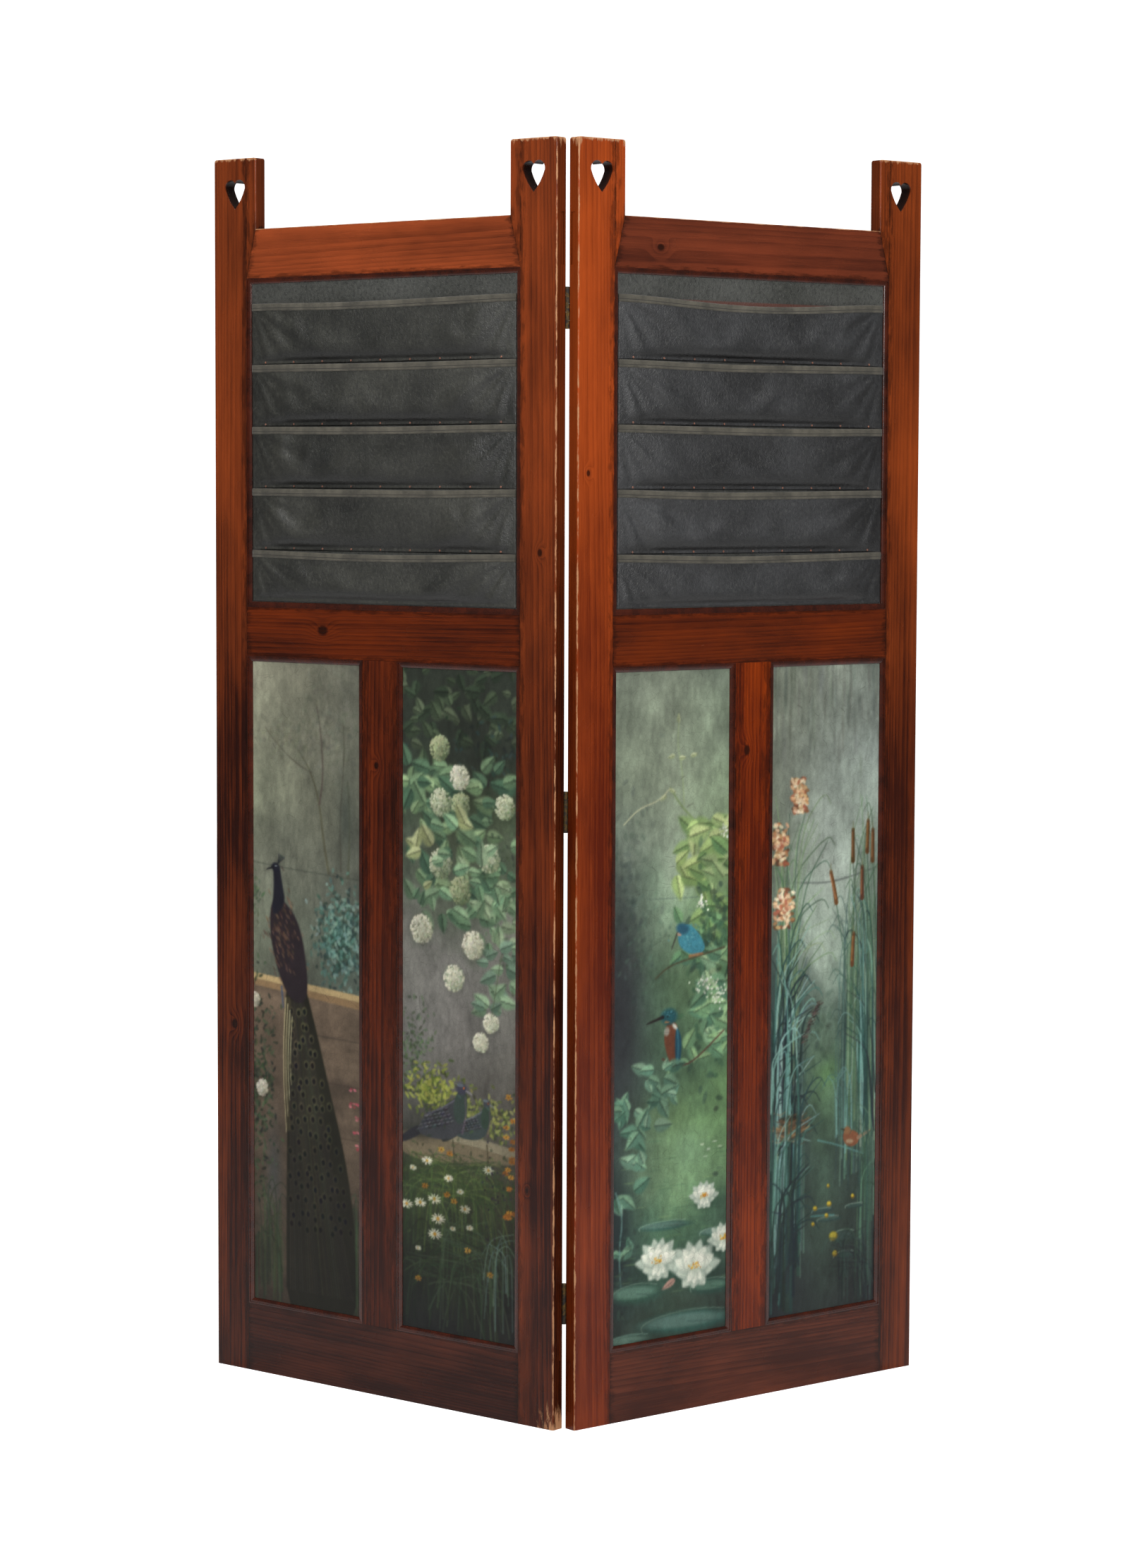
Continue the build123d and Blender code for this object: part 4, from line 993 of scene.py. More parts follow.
# %% The left leaf's boards
def wall_bird(p):
    p.wash(
        [
            (0, "#8b8a77 #7c7b6a #5c5d52"),
            (190, "#80846f #737564 #65675a"),
            (300, "#757868 #6b6e60 #585b51"),
            (400, "#747a68 #686f60 #5c665c"),
            (480, "#666a5b #585c50 #566056"),
            (953, "#3a3d32 #2c2c29 #33362c"),
        ]
    )
    for points, widths in (
        ([(152, 305), (142, 262), (134, 205), (118, 160), (92, 128)], (5, 1.5)),
        ([(134, 205), (142, 160), (136, 95), (128, 60)], (3.5, 1.2)),
        ([(118, 160), (84, 146), (48, 120), (24, 96)], (2.2, 0.8)),
        ([(176, 300), (174, 220), (184, 130), (180, 80)], (3, 1)),
        ([(190, 310), (194, 240), (190, 170)], (4, 2)),
    ):
        p.stroke(points, widths, "#4b4b40", 0.65, 0.03)
    p.foliage((70, 112), (38, 20), 190, 12, "#5c5e50 #6b6d5d #83866f", 0.22)
    p.foliage((160, 90), (34, 45), 220, 13, "#4f5247 #5c5f52 #74776a", 0.2)
    p.haze(186, 225, 26, 90, "#45483e", 0.55)
    p.stroke([(-8, 296), (60, 303), (222, 312)], (1.4, 1.4), "#3f433b", 0.55)
    p.haze(180, 402, 40, 62, "#2c403b", 0.85)
    p.foliage((174, 402), (25, 38), 520, 10, "#22332f #2f4a44 #43665d #5f857a #87a296", 0.6)
    p.foliage((4, 345), (6, 22), 40, 8, "#3c4a3a #56684c", 0.5)
    p.shape([(-240, 456), (-12, 474), (225, 492), (460, 510), (460, 1300), (-240, 1300)], "#6f6254", 3)
    p.colour[YS > 480] *= (1 + 0.07 * p.clouds(50, 30))[YS > 480][..., None]
    p.stroke([(-8, 471), (60, 477), (222, 492)], (17, 20), "#8a7050", 0.9)
    p.stroke([(-8, 466), (60, 472), (222, 486)], (8, 9), "#bd9c70", 0.85, 0.25)
    for y in (545, 612, 690, 770):
        p.stroke([(100, y), (222, y + 5)], (1.6, 1.6), "#453d35", 0.5)
    p.darken(500, 900, 0.62)
    p.haze(40, 760, 26, 120, "#4f585a", 0.6)
    p.foliage((8, 640), (16, 95), 330, 9, "#1d241d #263024 #35432e #475a3f", 0.7)
    p.foliage((34, 590), (8, 40), 60, 7, "#2a3527 #3f4f38", 0.5)
    p.blades((0, 60, 900, 960), (0, 62, 760, 860), 40, 3, "#2b3526 #37452f #445339", 0.6)
    p.blades((195, 214, 900, 960), (198, 214, 720, 860), 16, 3, "#2b3526 #3f5238", 0.6)
    p.ball(17, 634, 12, "#e6dfcb", "#8b8670")
    p.ball(1, 503, 11, "#ded6c2", "#7f7a66")
    for x, y in ((198, 620), (208, 640), (196, 643), (210, 662), (206, 682), (211, 704)):
        for _ in range(5):
            at = x + p.rng.normal(0, 3), y + p.rng.normal(0, 2)
            p.dab(*at, 6, 3, 0.2, p.pick("#b0505a #c9727a #8f3c46"), 0.9, 0.3)
    tail = [(60, 470), (100, 462), (124, 530), (152, 620), (184, 720), (200, 800), (205, 860), (206, 985)]
    p.shape([*tail, (66, 985), (66, 830), (68, 640)], "#1f1f1a", 3)
    for k in range(26):
        plume = [(72 + k * 1.2, 500), (74 + k * 2.6, 660), (74 + k * 5, 930)]
        p.stroke(plume, (2, 2.6), p.pick("#34302a #292622 #3e3a30"), 0.45)
    p.haze(118, 640, 34, 120, "#403b30", 0.4)
    for row in range(17):
        left, right = 74 + row * 0.2, 112 + row * 5.6
        for x in np.arange(left, min(right, 200), 15):
            x, y = x + p.rng.normal(0, 2.5) + 5 * (row % 2), 515 + row * 20 + p.rng.normal(0, 4)
            p.dab(x, y, 14, 11, 1.4, "#6a6446", 0.65 * (1 - row / 20))
            p.dab(x, y + 0.5, 9, 6.5, 1.4, "#07090b", 0.95)
            p.dab(x - 1.5, y - 3, 2.5, 1.6, 0.5, p.pick("#6d6a48 #59583c #85805a"), 0.7 * (1 - row / 20), 0.2)
    p.stroke([(70, 500), (66, 600), (70, 690)], (12, 8), "#3c3b2c", 0.8)
    for k in range(4):
        plume = [(65 + k * 4.4, 496 + 9 * k), (59 + k * 4.8, 590), (66 + k * 3.4, 696 - 24 * k)]
        p.stroke(plume, (1.5, 0.7), "#c9c196", 0.85)
    p.stroke([(57, 480), (60, 510)], (4, 2), "#39507a", 0.6)
    back = [(40, 345), (60, 350), (88, 375), (104, 420), (112, 490), (92, 505), (66, 490), (42, 440), (31, 385)]
    p.shape(back, "#2b2724", 3)
    for _ in range(150):
        x, y = p.rng.normal((60, 405), (15, 30))
        p.dab(x, y, 9, 3, 1.0, p.pick("#4f3b2f #664b3a #3a2d27 #7a5c48"), 0.55)
    p.shape([(40, 298), (53, 298), (58, 325), (66, 358), (36, 380), (42, 335)], "#1d2226", 3)
    p.dab(45, 303, 17, 14, 0.2, "#1d2225", 1.0)
    p.stroke([(40, 303), (27, 307)], (3.4, 0.8), "#14161a")
    p.dab(46, 301, 5, 2.4, 0, "#a9b0ae", 0.9, 0.3)
    for k in range(5):
        p.stroke([(49, 298), (52 + 2.5 * k, 285 + k)], (0.9, 0.9), "#23282a", 0.8)
        p.dab(52 + 2.5 * k, 284 + k, 3, 2, 1.2, "#2f3a3c", 0.9)
    p.darken(700, 953, 0.82)


def dove(p, x, y, size, face):
    """A resting dove facing right: tail, back, wing, breast and head."""
    s = size

    def at(*places):
        return [(x + a * s, y + b * s) for a, b in places]

    p.shape(at((-62, 22), (-30, 4), (-24, 14), (-58, 30)), "#2a2d33", 2)
    p.shape(at((-38, 14), (-20, -8), (6, -18), (26, -34), (34, -20), (32, 4), (16, 18), (-14, 20)), "#3e4044", 1.6)
    for row in range(5):
        for k in range(9 - row):
            px, py = x + (-34 + k * 6 + row * 4) * s, y + (12 - row * 5 - k * 1.6) * s
            p.dab(px, py, 7 * s, 3.6 * s, -0.35, p.pick("#2c2d31 #35373b #26282a"), 0.8, 0.2)
            p.dab(px + 1.2, py - 1.4 * s, 5.5 * s, 1.6 * s, -0.35, p.pick("#74777c #888b8f #65686c"), 0.6, 0.2)
    p.stroke(at((-24, -4), (4, -17), (20, -26)), (1.6, 2.2), "#8e939b", 0.5, 0.2)
    p.shape(at((16, -12), (21, -34), (33, -40), (38, -24), (35, -6), (24, 2)), "#35463f", 1.4)
    p.stroke(at((34, -30), (36, -12), (30, 10)), (2, 3), "#76606f", 0.45, 0.2)
    p.dab(x + 29 * s, y - 39 * s, 17 * s, 14 * s, 0.2, "#3c4248", 1.0, 0.15)
    p.dab(x + 27 * s, y - 43 * s, 11 * s, 4.5 * s, 0.1, "#6d747c", 0.8, 0.3)
    p.dab(x + 32 * s, y - 40 * s, 3.6, 3.2, 0, "#c0653a", 1.0, 0.1)
    p.dab(x + 32 * s, y - 40 * s, 1.6, 1.6, 0, "#141414", 1.0, 0.0)
    p.stroke(at((36, -37), (44, -34)), (2.6, 1), "#8d8f8c")
    p.dab(x + face[0], y + face[1], 10, 4, 0.5, "#4f6a60", 0.5)


def snowballs(p):
    p.wash(
        [
            (0, "#2f342c #343a31 #2f352d"),
            (110, "#2f362e #2a2f28 #343a31"),
            (200, "#3b4638 #39422f #3c4534"),
            (330, "#6b7064 #5d6455 #566050"),
            (400, "#7d7c74 #807e78 #75756b"),
            (520, "#74736e #797670 #6e6c65"),
            (640, "#4a4a44 #55534d #4f4b43"),
            (720, "#343d29 #434a31 #3b3a2a"),
            (820, "#283022 #2d3625 #2a2a20"),
            (953, "#202322 #232525 #212222"),
        ]
    )
    p.leaves((106, 48), (112, 60), 70, 30, "#47553f #2c3629 #3b4a38 #242d23 #55604a #333d2e", 0.2)
    p.foliage((170, 110), (50, 26), 120, 10, "#1f2620 #283328 #2f4440", 0.6)
    p.leaves((30, 175), (40, 40), 20, 36, "#6f8763 #3f5440 #587257 #33483a")
    p.leaves((110, 225), (100, 90), 84, 38, "#7d9a74 #486148 #5f7f62 #37503f #8fa77c #56704e #4b6a52 #2b4034", 0.3)
    p.leaves((160, 330), (46, 60), 40, 34, "#86a07c #4c664c #6b8a68 #3d5641 #97a987 #64785a")
    p.leaves((60, 335), (40, 20), 11, 34, "#7f9a78 #4b654b #5f7d60 #3a523f")
    p.leaves((180, 440), (26, 52), 26, 30, "#8ba583 #587257 #76917a #48614f", 0.0, 0.4)
    p.foliage((190, 250), (22, 90), 80, 9, "#2b382b #3d4f39 #56694a", 0.5)
    blooms = (
        (70, 112, 18, 0),
        (108, 152, 18, 2),
        (72, 190, 20, 1),
        (110, 190, 17, 0),
        (192, 190, 18, 1),
        (72, 277, 21, 1),
        (163, 265, 20, 1),
        (109, 313, 20, 0),
        (36, 373, 21, 2),
        (133, 389, 20, 2),
        (97, 439, 19, 2),
        (167, 498, 14, 2),
        (148, 527, 14, 2),
    )
    shades = (("#b0b78f", "#4f5c42"), ("#cfd2b4", "#5d6b4e"), ("#e6e3cb", "#8f937a"))
    for x, y, radius, tone in blooms:
        p.ball(x, y, radius, *shades[tone])
    p.stroke([(186, 400), (176, 450), (168, 490)], (1.6, 1), "#56684a", 0.8)
    p.leaves((110, 262), (85, 55), 20, 34, "#a3bd96 #5f7f62 #8cab84 #4b6c54 #b3b889 #7d8558", 0.5)
    p.foliage((22, 545), (18, 34), 170, 8, "#26301f #34452c #4b6140 #5f7a50", 0.5)
    p.foliage((60, 604), (28, 16), 330, 9, "#3c4724 #5f6b30 #87913f #a5aa52", 0.75)
    p.foliage((146, 632), (38, 15), 340, 9, "#38402a #566034 #7d8544 #9c9e58", 0.75)
    p.shape([(-10, 655), (222, 672), (222, 700), (-10, 712)], "#756c52", 3)
    p.stroke([(40, 664), (140, 670), (222, 682)], (13, 13), "#9c8f6c", 0.75, 0.25)
    for x in (96, 160):
        p.stroke([(x, 672), (x + 3, 706)], (1.8, 1.4), "#38352a", 0.8)
    p.haze(30, 668, 60, 16, "#272a22", 0.7)
    dove(p, 132, 650, 0.95, (30, -30))
    dove(p, 74, 648, 1.32, (34, -40))
    p.foliage((106, 742), (74, 30), 330, 8, "#26301f #2f3d25 #3f512f #526637", 0.5)
    p.blades((0, 212, 730, 850), (0, 212, 690, 760), 120, 2.2, "#3c4d2b #4d6133 #61743f #2f3d25", 0.6)
    p.blades((0, 212, 850, 960), (0, 212, 780, 880), 110, 2.4, "#2c3a26 #3a4a32 #4a5c44 #22291f", 0.6)
    p.blades((150, 212, 850, 950), (160, 214, 790, 830), 12, 2.2, "#5c7468 #6d8476", 0.7)
    near = ((47, 707, 11), (88, 728, 9), (61, 761, 13), (34, 769, 12), (8, 774, 12), (68, 789, 14), (62, 812, 14))
    for x, y, r in near:
        p.daisy(x, y, r, 12, "#d9d6c0", "#b98a35")
    far = ((119, 769, 11), (163, 708, 11), (110, 745, 7), (20, 720, 7), (128, 795, 7), (96, 800, 6), (30, 836, 6))
    for x, y, r in far:
        p.daisy(x, y, r, 11, "#bfbfa8", "#a58238")
    golden = ((74, 688), (90, 692), (85, 752), (43, 744), (166, 858), (124, 828), (98, 760), (30, 880), (200, 600))
    for x, y in golden:
        p.daisy(x, y, 7, 7, p.pick("#b9812e #c99a3f #a86c22"), "#6b4517", 0.7)
    for _ in range(16):
        at = p.rng.uniform(194, 212), p.rng.uniform(612, 790)
        p.daisy(*at, 6.5, 7, p.pick("#b9742a #c98c36 #9c5c20"), "#6b4517")
    for _ in range(30):
        x, y = p.rng.normal((178, 745), (14, 28))
        p.dab(x, y, 4, 3.4, 0, p.pick("#2a2730 #37323f #232028"), 0.85, 0.2)
    p.darken(780, 953, 0.8)


# %% [markdown]
# The third board is a pond with water lilies under a climbing plant, with two small bright birds on its stems. The
# fourth is a reed bed, with bulrushes, a nest and yellow pond lilies. Both are lit from the middle, where thin green
# glazes let the pale ground shine through.

# %% The right leaf's boards
def small_bird(p, x, y, s, cap, breast, wing, facing=-1):
    """A big-headed, long-billed little bird on a twig."""

    def at(*places):
        return [(x + facing * a * s, y + b * s) for a, b in places]

    p.shape(at((-2, -20), (7, -18), (11, -4), (7, 12), (-1, 28), (-7, 20), (-9, 0), (-8, -12)), breast, 1.6, body=0.2)
    p.shape(at((-4, -16), (-11, -6), (-12, 10), (-7, 33), (-3, 14)), wing, 1.6, body=0.2)
    p.stroke(at((-6, -12), (-8, 6), (-6, 24)), (2.4, 1), "#4b8a93", 0.6, 0.25)
    p.dab(x + facing * 7 * s, y - 10 * s, 7 * s, 9 * s, 0.2, "#c0c4b6", 0.75, 0.3)
    p.dab(x + facing * 4 * s, y - 24 * s, 21 * s, 16 * s, 0.0, cap, 1.0, 0.25)
    p.stroke(at((12, -24), (32, -19)), (3.4 * s, 1), "#17191b")
    p.dab(x + facing * 7 * s, y - 19 * s, 7 * s, 2.6, 0.1, "#b87a4a", 0.9, 0.2)
    p.dab(x - facing * 3 * s, y - 14 * s, 8 * s, 4 * s, 0.8, "#c9cfc6", 0.85, 0.3)
    p.dab(x + facing * 6 * s, y - 24 * s, 2.4, 2.2, 0, "#0d0f10", 1.0, 0.3)
    for _ in range(16):
        dx, dy = p.rng.normal(0, 5 * s, 2)
        p.dab(x + facing * 3 * s + dx, y - 27 * s + dy * 0.5, 3, 1.6, 0.2, "#5f98a0", 0.5, 0.25)


def lily_pond(p):
    p.wash(
        [
            (0, "#727a6b #808977 #7e8a78"),
            (150, "#78826f #8b9680 #809076"),
            (250, "#6a7568 #96a48d #7a8d6c"),
            (330, "#525e55 #8aa085 #628052"),
            (450, "#394445 #5b7558 #55704b"),
            (560, "#353e3f #4f6a52 #52704f"),
            (640, "#3a4744 #6c8a5f #688a5c"),
            (715, "#3c4c45 #82a378 #6f9167"),
            (780, "#2f3e3a #53775a #4c6a52"),
            (880, "#2d3a36 #3f5a4b #394e43"),
            (953, "#2f3a33 #39483a #2d342e"),
        ]
    )
    p.haze(128, 268, 52, 60, "#93a48f", 0.5)
    p.foliage((20, 360), (24, 90), 200, 15, "#3b4640 #46524a #2f3a38", 0.22)
    p.haze(14, 480, 58, 260, "#262e31", 0.85)
    p.haze(8, 800, 40, 160, "#222b2b", 0.7)
    p.stroke([(60, 322), (212, 326)], (1.2, 1.2), "#55665a", 0.6)
    p.haze(140, 690, 70, 62, "#88a67c", 0.5)
    for _ in range(90):
        x, y = p.rng.uniform(0, 212), p.rng.uniform(665, 900)
        p.dab(x, y, p.rng.uniform(14, 40), 2.2, 0.02, p.pick("#8fae74 #456650 #6a8d5e #35503f"), 0.28, 0.03)
    p.foliage((62, 395), (26, 34), 80, 10, "#3c4c40 #4f6a58 #5f7f68", 0.22)
    p.stroke([(16, 214), (44, 192), (80, 184), (102, 166)], (1.6, 2.0), "#b9c2a6", 0.9, 0.3)
    p.stroke([(102, 166), (122, 192), (150, 216), (186, 250)], (2.2, 3.0), "#74875c", 0.9)
    p.stroke([(117, 74), (115, 108), (124, 140), (128, 190)], (1.4, 1.8), "#8f9c74", 0.8)
    young = ((117, 74, -1.6), (110, 120, 2.9), (118, 124, 0.0), (140, 122, -0.2), (95, 176, 2.6), (100, 168, 0.4))
    for x, y, a in young:
        p.leaf(x, y, 15, 8, a, "#c3c99d", "#8c9a6c")
    p.leaves((172, 240), (36, 40), 26, 40, "#b9c68a #7c9460 #9db373 #66824f #86a066 #567245", 0.2)
    p.leaves((140, 285), (28, 16), 11, 42, "#aebf7e #728a50 #98ae6c #5f7b48", 0.2)
    p.leaves((192, 320), (24, 60), 36, 36, "#8ba669 #567547 #6f8f5a #3f5f40 #9cb07c #5f7a52", 0.4)
    p.leaves((170, 390), (48, 34), 26, 32, "#5f8560 #38574a #739a6c #45684c", 0.4)
    p.foliage((186, 440), (26, 80), 160, 16, "#24352d #2f4a3a #3b5c46", 0.5)
    p.leaves((188, 470), (26, 62), 46, 36, "#8fb080 #4d7052 #6f9672 #3b5f4c #a3bd92 #64866a", 0.3)
    p.leaves((165, 545), (44, 16), 16, 34, "#8db07d #54785a #7ba277 #476b53", 0.2)
    p.stroke([(76, 436), (100, 420), (140, 412), (206, 400)], (2, 3), "#4a4a38", 0.9)
    p.stroke([(90, 552), (120, 566), (150, 560), (206, 520)], (3, 2), "#5a4636", 0.9)
    sprays = ((164, 332), (7, 6), 20), ((170, 452), (10, 7), 34), ((196, 468), (9, 8), 30), ((206, 232), (6, 9), 18)
    for centre, reach, count in sprays:
        for _ in range(count):
            x, y = p.rng.normal(centre, reach)
            p.dab(x, y, 4.4, 3.4, p.rng.uniform(0, 3), p.pick("#dfe2cf #c3cbb2 #eff0e2 #a9b49a"), 0.9, 0.4)
    back = [(118, 372), (132, 360), (150, 368), (172, 396), (160, 408), (134, 404), (118, 390)]
    p.shape(back, "#3d7a86", 1.6, body=0.2)
    p.dab(126, 368, 25, 17, 0.2, "#28525e", 1.0, 0.25)
    p.stroke([(116, 374), (106, 396)], (3, 1), "#3a3a36")
    p.dab(120, 376, 9, 4, 0.4, "#c99a84", 0.9, 0.3)
    p.stroke([(140, 408), (164, 406)], (4, 3), "#9c6a48", 0.8)
    for _ in range(46):
        x, y = p.rng.normal((140, 384), (12, 8))
        p.dab(x, y, 5, 2, 0.6, p.pick("#63a3ab #4c8d98 #2f6b78 #7fb6b8"), 0.55, 0.3)
    small_bird(p, 108, 528, 1.5, "#235058", "#7b442d", "#21485a")
    sprigs = (78, 574, 9), (24, 616, 9), (96, 604, 9), (56, 650, 9), (46, 696, 8), (16, 742, 6), (14, 824, 4)
    for x, y, count in sprigs:
        p.leaves((x, y), (22, 9), count, 31, "#7ea585 #44695a #628b72 #345748 #93b596 #557a67", 0.2, 1.0)
    p.stroke([(4, 735), (18, 770), (10, 820), (14, 870)], (2.4, 1.4), "#6f8f86", 0.8)
    p.foliage((16, 860), (20, 50), 70, 11, "#26332f #2f413b #3d554a", 0.4)
    for pad in (
        (96, 792, 100, 14),
        (44, 884, 96, 30),
        (140, 936, 180, 34),
        (196, 812, 70, 14),
        (30, 950, 90, 18),
        (184, 890, 80, 24),
    ):
        p.pad(*pad)
    for x, y in ((166, 682), (178, 690), (190, 680), (200, 688), (172, 700)):
        p.dab(x, y, 9, 2.6, 0, "#c9d6bc", 0.7, 0.2)
    for x, y, r in ((170, 760, 31), (84, 846, 47), (152, 862, 54), (208, 826, 34)):
        p.haze(x, y + 8, r * 1.3, r * 0.5, "#1c2b28", 0.7)
        p.lily(x, y, r)
    p.leaf(116, 872, 30, 13, 2.7, "#cf9f8e", "#a9877a")
    p.darken(830, 953, 0.88)


def reed_bed(p):
    p.wash(
        [
            (0, "#767d6e #7e8578 #7f887e"),
            (130, "#777d6f #8a9388 #8d978f"),
            (250, "#6c7565 #a5b0a4 #9caa9c"),
            (312, "#6f7a69 #b2bdb0 #8f9d90"),
            (420, "#4c5f56 #a3b1a1 #65786a"),
            (520, "#3d5049 #677b6b #465850"),
            (620, "#39443f #5c7a5c #38473f"),
            (720, "#343c3c #455a4c #313d39"),
            (820, "#2c3434 #3e5043 #2a3230"),
            (953, "#25292c #333d39 #232426"),
        ]
    )
    for _ in range(120):
        x, y = p.rng.uniform(0, 212), abs(p.rng.normal(0, 75))
        p.dab(x, y, p.rng.uniform(30, 80), 6, pi / 2, p.pick("#555a50 #8b938a #4c5048 #626a60"), 0.2, 0.03)
    p.haze(118, 380, 62, 60, "#a4b0a0", 0.3)
    p.stroke([(50, 316), (110, 320), (160, 313), (212, 302)], (2.2, 2.2), "#56605a", 0.65)
    p.haze(116, 605, 42, 40, "#6f9a62", 0.5)
    p.haze(20, 700, 60, 260, "#222a2c", 0.65)
    p.haze(206, 560, 46, 250, "#26302e", 0.7)
    p.foliage((110, 540), (30, 26), 60, 16, "#33413a #3f5246", 0.25)
    far = "#4f6a60 #3c544c #668577 #2f443f"
    p.blades((0, 70, 600, 900), (0, 75, 420, 640), 90, 3, far, 0.6)
    p.blades((130, 214, 640, 780), (120, 214, 330, 620), 90, 2.6, far, 0.6)
    p.haze(24, 660, 58, 330, "#1d2628", 0.75)
    near = "#4f7a70 #35564d #7ea39a #2c4a43 #3d6459 #263f3b"
    p.blades((10, 50, 520, 760), (2, 120, 180, 420), 46, 3.4, "#5b7457 #738c68 #486349 #89a07c", 0.8)
    p.blades((0, 45, 640, 960), (0, 80, 330, 560), 26, 4.4, near, 0.8)
    p.blades((6, 40, 600, 900), (20, 110, 380, 620), 12, 4.2, "#8fb3ab #a4c4ba #6f978e", 0.8)
    p.blades((0, 60, 560, 900), (0, 90, 400, 700), 40, 4.6, "#1d2729 #243234 #192123", 0.75)
    p.blades((0, 60, 600, 860), (10, 100, 420, 700), 14, 4.4, "#6f978e #5a857c #86aca3", 0.8)
    p.blades((150, 214, 620, 760), (150, 214, 190, 420), 34, 3, "#5f7a60 #4a654f #7b9478", 0.8)
    p.blades((176, 214, 600, 720), (140, 206, 300, 560), 34, 3.2, near + " #1f2b2b", 0.75)
    p.blades((132, 170, 690, 730), (110, 170, 590, 640), 9, 3.0, "#5f8a84 #75a09a #4a6f6a", 0.7)
    for centre, spread in (((54, 188), (9, 15)), ((16, 258), (9, 18)), ((25, 352), (11, 17))):
        for n in range(120):
            x, y = centre + np.clip(p.rng.normal(0, 1, 2), -1.6, 1.6) * spread
            tone = p.pick("#5f3f2c #8a5c3e" if n < 45 else "#cda57c #dfc49c #b0805a #eddab8 #a5644a")
            p.dab(x, y, 10, 5.5, p.rng.normal(0.2, 0.5), tone, 0.92, 0.45)
    for x, y, lean in (
        (162, 270, 0.0),
        (191, 258, 0.05),
        (202, 272, 0.0),
        (181, 326, 0.0),
        (129, 330, -0.45),
        (162, 424, 0.1),
    ):
        tip = (x + 26 * sin(lean), y - 26)
        p.stroke([(x + 20 - 60 * lean, y + 230), (x, y + 20)], (2, 1.6), "#4c6350", 0.8)
        p.stroke([(x, y + 20), (x + 9 * sin(lean), y), tip], (7.5, 5.5), "#5f3a22", 0.95, 0.4)
        p.stroke([(x - 1.5, y + 14), (tip[0] - 1.5, tip[1] + 4)], (2, 1.4), "#b07a4e", 0.7, 0.3)
        p.stroke([tip, (tip[0], tip[1] - 12)], (1.2, 0.8), "#7d7a58", 0.9)
    for _ in range(80):
        t = p.rng.random()
        at = 64 + 32 * t + p.rng.normal(0, 3), 552 - 56 * t + p.rng.normal(0, 3)
        p.dab(*at, 8, 1.8, -0.3, p.pick("#4a3c38 #64524a #2f2826"), 0.7)
    p.dab(42, 676, 56, 36, 0, "#251d17", 0.85)
    for _ in range(110):
        x, y = p.rng.normal((42, 676), (15, 10))
        twig = [(x - 12, y - 2), (x, y + 3), (x + 12, y - 2)]
        p.stroke(twig, (1.3, 1), p.pick("#6a5238 #8a6c48 #4a3a2a #a5845a"), 0.6, 0.3)
    p.dab(42, 662, 38, 9, 0, "#2a211a", 0.7)
    p.shape([(148, 692), (164, 690), (182, 700), (176, 716), (156, 716), (146, 704)], "#7a5136", 1.6, body=0.2)
    p.dab(155, 691, 14, 12, 0, "#8f6a4a", 1.0, 0.2)
    p.dab(160, 708, 16, 7, 0.1, "#b9a083", 0.8, 0.2)
    p.stroke([(178, 704), (202, 696)], (6, 3), "#8d7458", 0.9)
    p.stroke([(149, 690), (143, 688)], (2, 1), "#2a241f")
    p.stroke([(96, 700), (140, 712), (190, 730)], (2.4, 1.6), "#5f8a84", 0.8)
    p.blades((0, 60, 800, 960), (20, 110, 560, 800), 26, 5.5, near, 0.75)
    p.blades((0, 60, 840, 960), (0, 90, 720, 880), 26, 6, "#1c2628 #223032 #2b3d3a", 0.8)
    p.blades((176, 214, 760, 960), (160, 214, 640, 780), 26, 3.2, "#3f5a4c #56735f #2f463b", 0.7)
    for pad in ((120, 820, 50, 8), (150, 850, 54, 22), (106, 806, 44, 8), (172, 806, 40, 8), (152, 878, 46, 14)):
        p.pad(*pad, "#48635a", "#2a3d38")
    p.stroke([(84, 812), (130, 815)], (2, 2), "#5f9a9c", 0.7)
    yellow = (129, 846, 9), (120, 797, 5), (92, 801, 4.5), (133, 873, 6), (115, 814, 4), (118, 770, 3), (168, 791, 4)
    for x, y, r in (*yellow, (88, 824, 3.5)):
        p.dab(x, y + 1, 2 * r, 1.5 * r, 0, "#7d6a22", 1.0, 0.3)
        p.dab(x - 1, y - 1, 1.6 * r, 1.1 * r, 0, "#c9b13a", 0.95, 0.4)
    p.blades((130, 214, 900, 960), (120, 214, 830, 900), 40, 2.4, "#2c3a36 #3a4c45 #22292b", 0.6)
    p.darken(780, 953, 0.85)


# %% [markdown]
# A board's paint goes onto its mesh as a colour for each point, the way a scanned painting would be kept. The
# bristle marks and the fine cracks of old varnish are too small for the grid, so the material adds them.

# %% Boards and their paint
def painted_surface():
    """Oil paint: its colour is carried by the mesh as "paint"."""
    material, tree = new_material("Varnished oil paint")
    at = here(tree)
    paint = add(tree, "ShaderNodeAttribute", out="Color", attribute_name="paint")
    bristle = noise(tree, at, 420.0, 4.0, 0.6)
    streak = stretch(tree, bristle, 0.3, 0.7, 0.92, 1.08)
    shade = add(tree, "ShaderNodeVectorMath", {0: paint, "Scale": streak}, operation="SCALE")
    cells = {"Vector": at, "Scale": 90.0}
    cracks = add(tree, "ShaderNodeTexVoronoi", cells, out="Distance", feature="DISTANCE_TO_EDGE")
    crack = stretch(tree, cracks, 0.02, 0.0, last=0.35)
    colour = blend(tree, crack, shade, linear("#2a2620"))
    bump = bumps(tree, bristle, 0.35, 0.3 * MM)
    finish_material(tree, Base_Color=colour, Roughness=0.42, Normal=bump, Specular_IOR_Level=0.25)
    return material


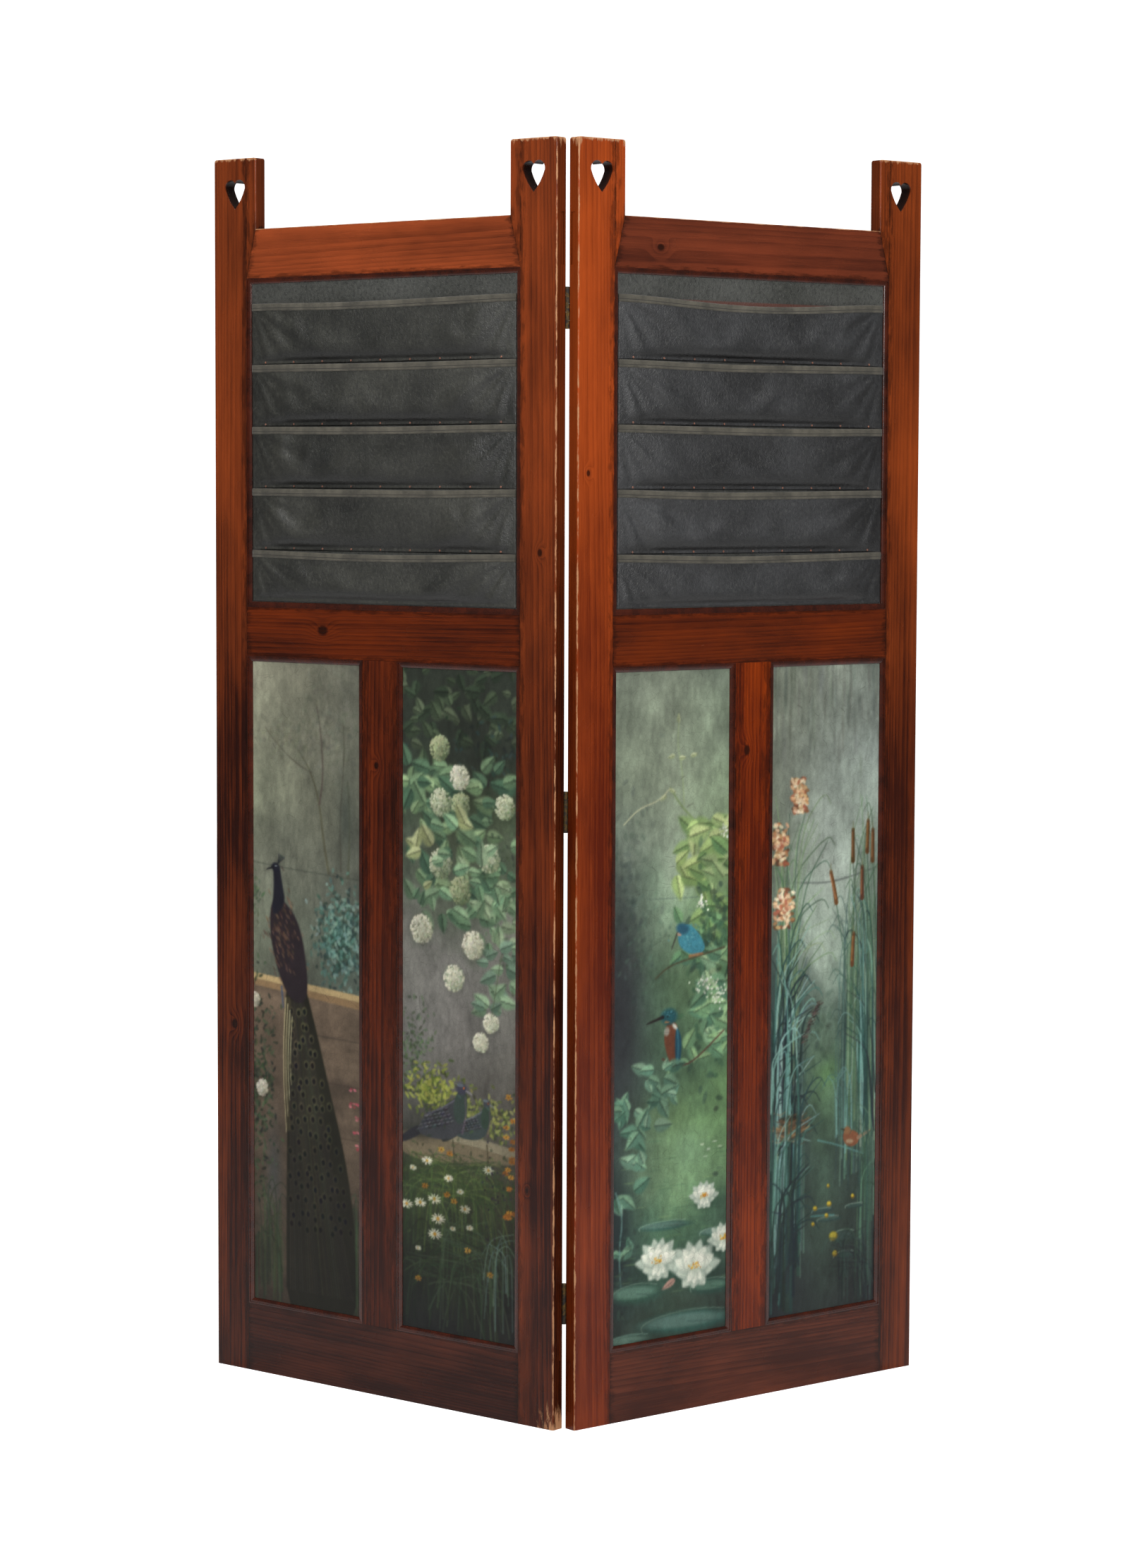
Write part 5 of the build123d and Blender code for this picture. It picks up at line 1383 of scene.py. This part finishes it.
OIL_PAINT = painted_surface()
BOARD_BACK = bpy.data.materials["Thin board right"]
SCENES = {
    ("left", "outer"): wall_bird,
    ("left", "inner"): snowballs,
    ("right", "inner"): lily_pond,
    ("right", "outer"): reed_bed,
}
for seed, ((side, place), scene) in enumerate(SCENES.items()):
    node = f"{side}_painted_panel_{place}"
    painting = Painting(seed)
    scene(painting)
    low, high = leaf_box(side, node.removeprefix(f"{side}_"))
    inside = (painting.x > 0.5) & (painting.x < SIGHT_WIDTH - 0.5)
    inside &= (painting.y > 0.5) & (painting.y < SIGHT_HEIGHT - 0.5)
    relief = np.where(inside, np.clip(painting.relief, 0, 0.45) + 0.02, 0)[::-1]
    painting.mellow()
    colour = painting.colour[::-1]
    if side == "left":  # u runs from the hinges, which is leftwards on this leaf
        relief, colour = relief[:, ::-1], colour[:, ::-1]
    colour = to_light(np.clip(colour, 0, 1))
    rows, columns = relief.shape
    u, z = np.meshgrid(np.linspace(low[0], high[0], columns), np.linspace(low[2], high[2], rows))
    front = np.stack([u, high[1] + relief * MM, z], 2).reshape(-1, 3)
    rim = grid_rim(rows, columns)
    back = front[rim] * (1, 0, 1) + (0, low[1], 0)
    count = len(rim)
    ring = np.arange(count) + rows * columns
    sides = np.stack([np.roll(rim, -1), rim, ring, np.roll(ring, -1)], 1).tolist()
    faces = grid_faces(rows, columns) + sides + [ring[::-1].tolist()]
    board = new_piece(f"{node}_board", side, np.concatenate([front, back]), faces, OIL_PAINT)
    board.data.materials.append(BOARD_BACK)
    edges = len(faces) - count - 1
    board.data.polygons.foreach_set("material_index", [0] * edges + [1] * (count + 1))
    board.data.polygons.foreach_set("use_smooth", [True] * edges + [False] * (count + 1))
    values = np.ones((len(board.data.vertices), 4), np.float32)
    values[: rows * columns, :3] = colour.reshape(-1, 3)
    board.data.attributes.new("paint", "FLOAT_COLOR", "POINT").data.foreach_set("color", values.ravel())
    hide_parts(node)
    print(f"{node}: {rows * columns} points of paint")

# %% [markdown]
# ## Floor, light and camera
# The screen stands on white paper. Two tall soft boxes, high on the left and right, give the mouldings their thin
# highlights and leave the lower boards darker. One above fills the pockets, and one behind lights the backs.

# %% Floor and light
def soft_box(name, at, toward, size, power, colour="#ffffff"):
    """A rectangular area light aimed at a point."""
    lamp = bpy.data.lights.new(name, "AREA")
    lamp.shape = "RECTANGLE"
    lamp.size, lamp.size_y = size
    lamp.energy = power
    lamp.color = linear(colour)[:3]
    holder = bpy.data.objects.new(name, lamp)
    holder.location = at
    holder.rotation_euler = (Vector(toward) - Vector(at)).to_track_quat("-Z", "Y").to_euler()
    bpy.context.scene.collection.objects.link(holder)


paper, tree = new_material("White paper")
seen = add(tree, "ShaderNodeLightPath", out="Is Camera Ray")
glow = stretch(tree, seen, 0.0, 1.0, 0.0, 0.9)
finish_material(
    tree, Base_Color=linear("#f2f2f2"), Roughness=0.9, Emission_Color=linear("#ffffff"), Emission_Strength=glow
)
floor_mesh = bpy.data.meshes.new("floor")
floor_mesh.from_pydata([(-9, -7, 0), (9, -7, 0), (9, 9, 0), (-9, 9, 0)], [], [(0, 1, 2, 3)])
floor_mesh.materials.append(paper)
floor = bpy.data.objects.new("floor", floor_mesh)
bpy.context.scene.collection.objects.link(floor)

world = bpy.data.worlds.new("studio")
world.use_nodes = True
tree = world.node_tree
tree.nodes.clear()
seen = add(tree, "ShaderNodeLightPath", out="Is Camera Ray")
strength = stretch(tree, seen, 0.0, 1.0, 0.11, 1.3)
sky = add(tree, "ShaderNodeBackground", {"Color": linear("#ffffff"), "Strength": strength})
add(tree, "ShaderNodeOutputWorld", {"Surface": sky})
bpy.context.scene.world = world
bpy.context.scene.view_settings.view_transform = "Standard"

soft_box("left box", (-2.4, -2.9, 3.0), (-0.2, 0, 1.25), (1.0, 2.0), 88)
soft_box("right box", (2.5, -2.9, 2.6), (0.2, 0, 1.15), (1.0, 2.0), 82)
soft_box("top box", (0, -0.8, 3.4), (0, 0, 0.9), (2.6, 1.2), 26)
soft_box("back box", (0.4, 3.4, 2.4), (0, 0, 0.9), (2.4, 1.6), 60)

# %% Camera
CAMERA_PLACE = 0, -5.559, 1.318
PITCH, ROLL, YAW = radians(4.36), radians(0.20), radians(0.02)
camera_data = bpy.data.cameras.new("camera")
camera_data.lens = 88.79
camera = bpy.data.objects.new("camera", camera_data)
turn = Matrix.Rotation(YAW, 4, "Z") @ Matrix.Rotation(pi / 2 - PITCH, 4, "X") @ Matrix.Rotation(ROLL, 4, "Z")
camera.matrix_world = Matrix.Translation(CAMERA_PLACE) @ turn
bpy.context.scene.collection.objects.link(camera)
bpy.context.scene.camera = camera
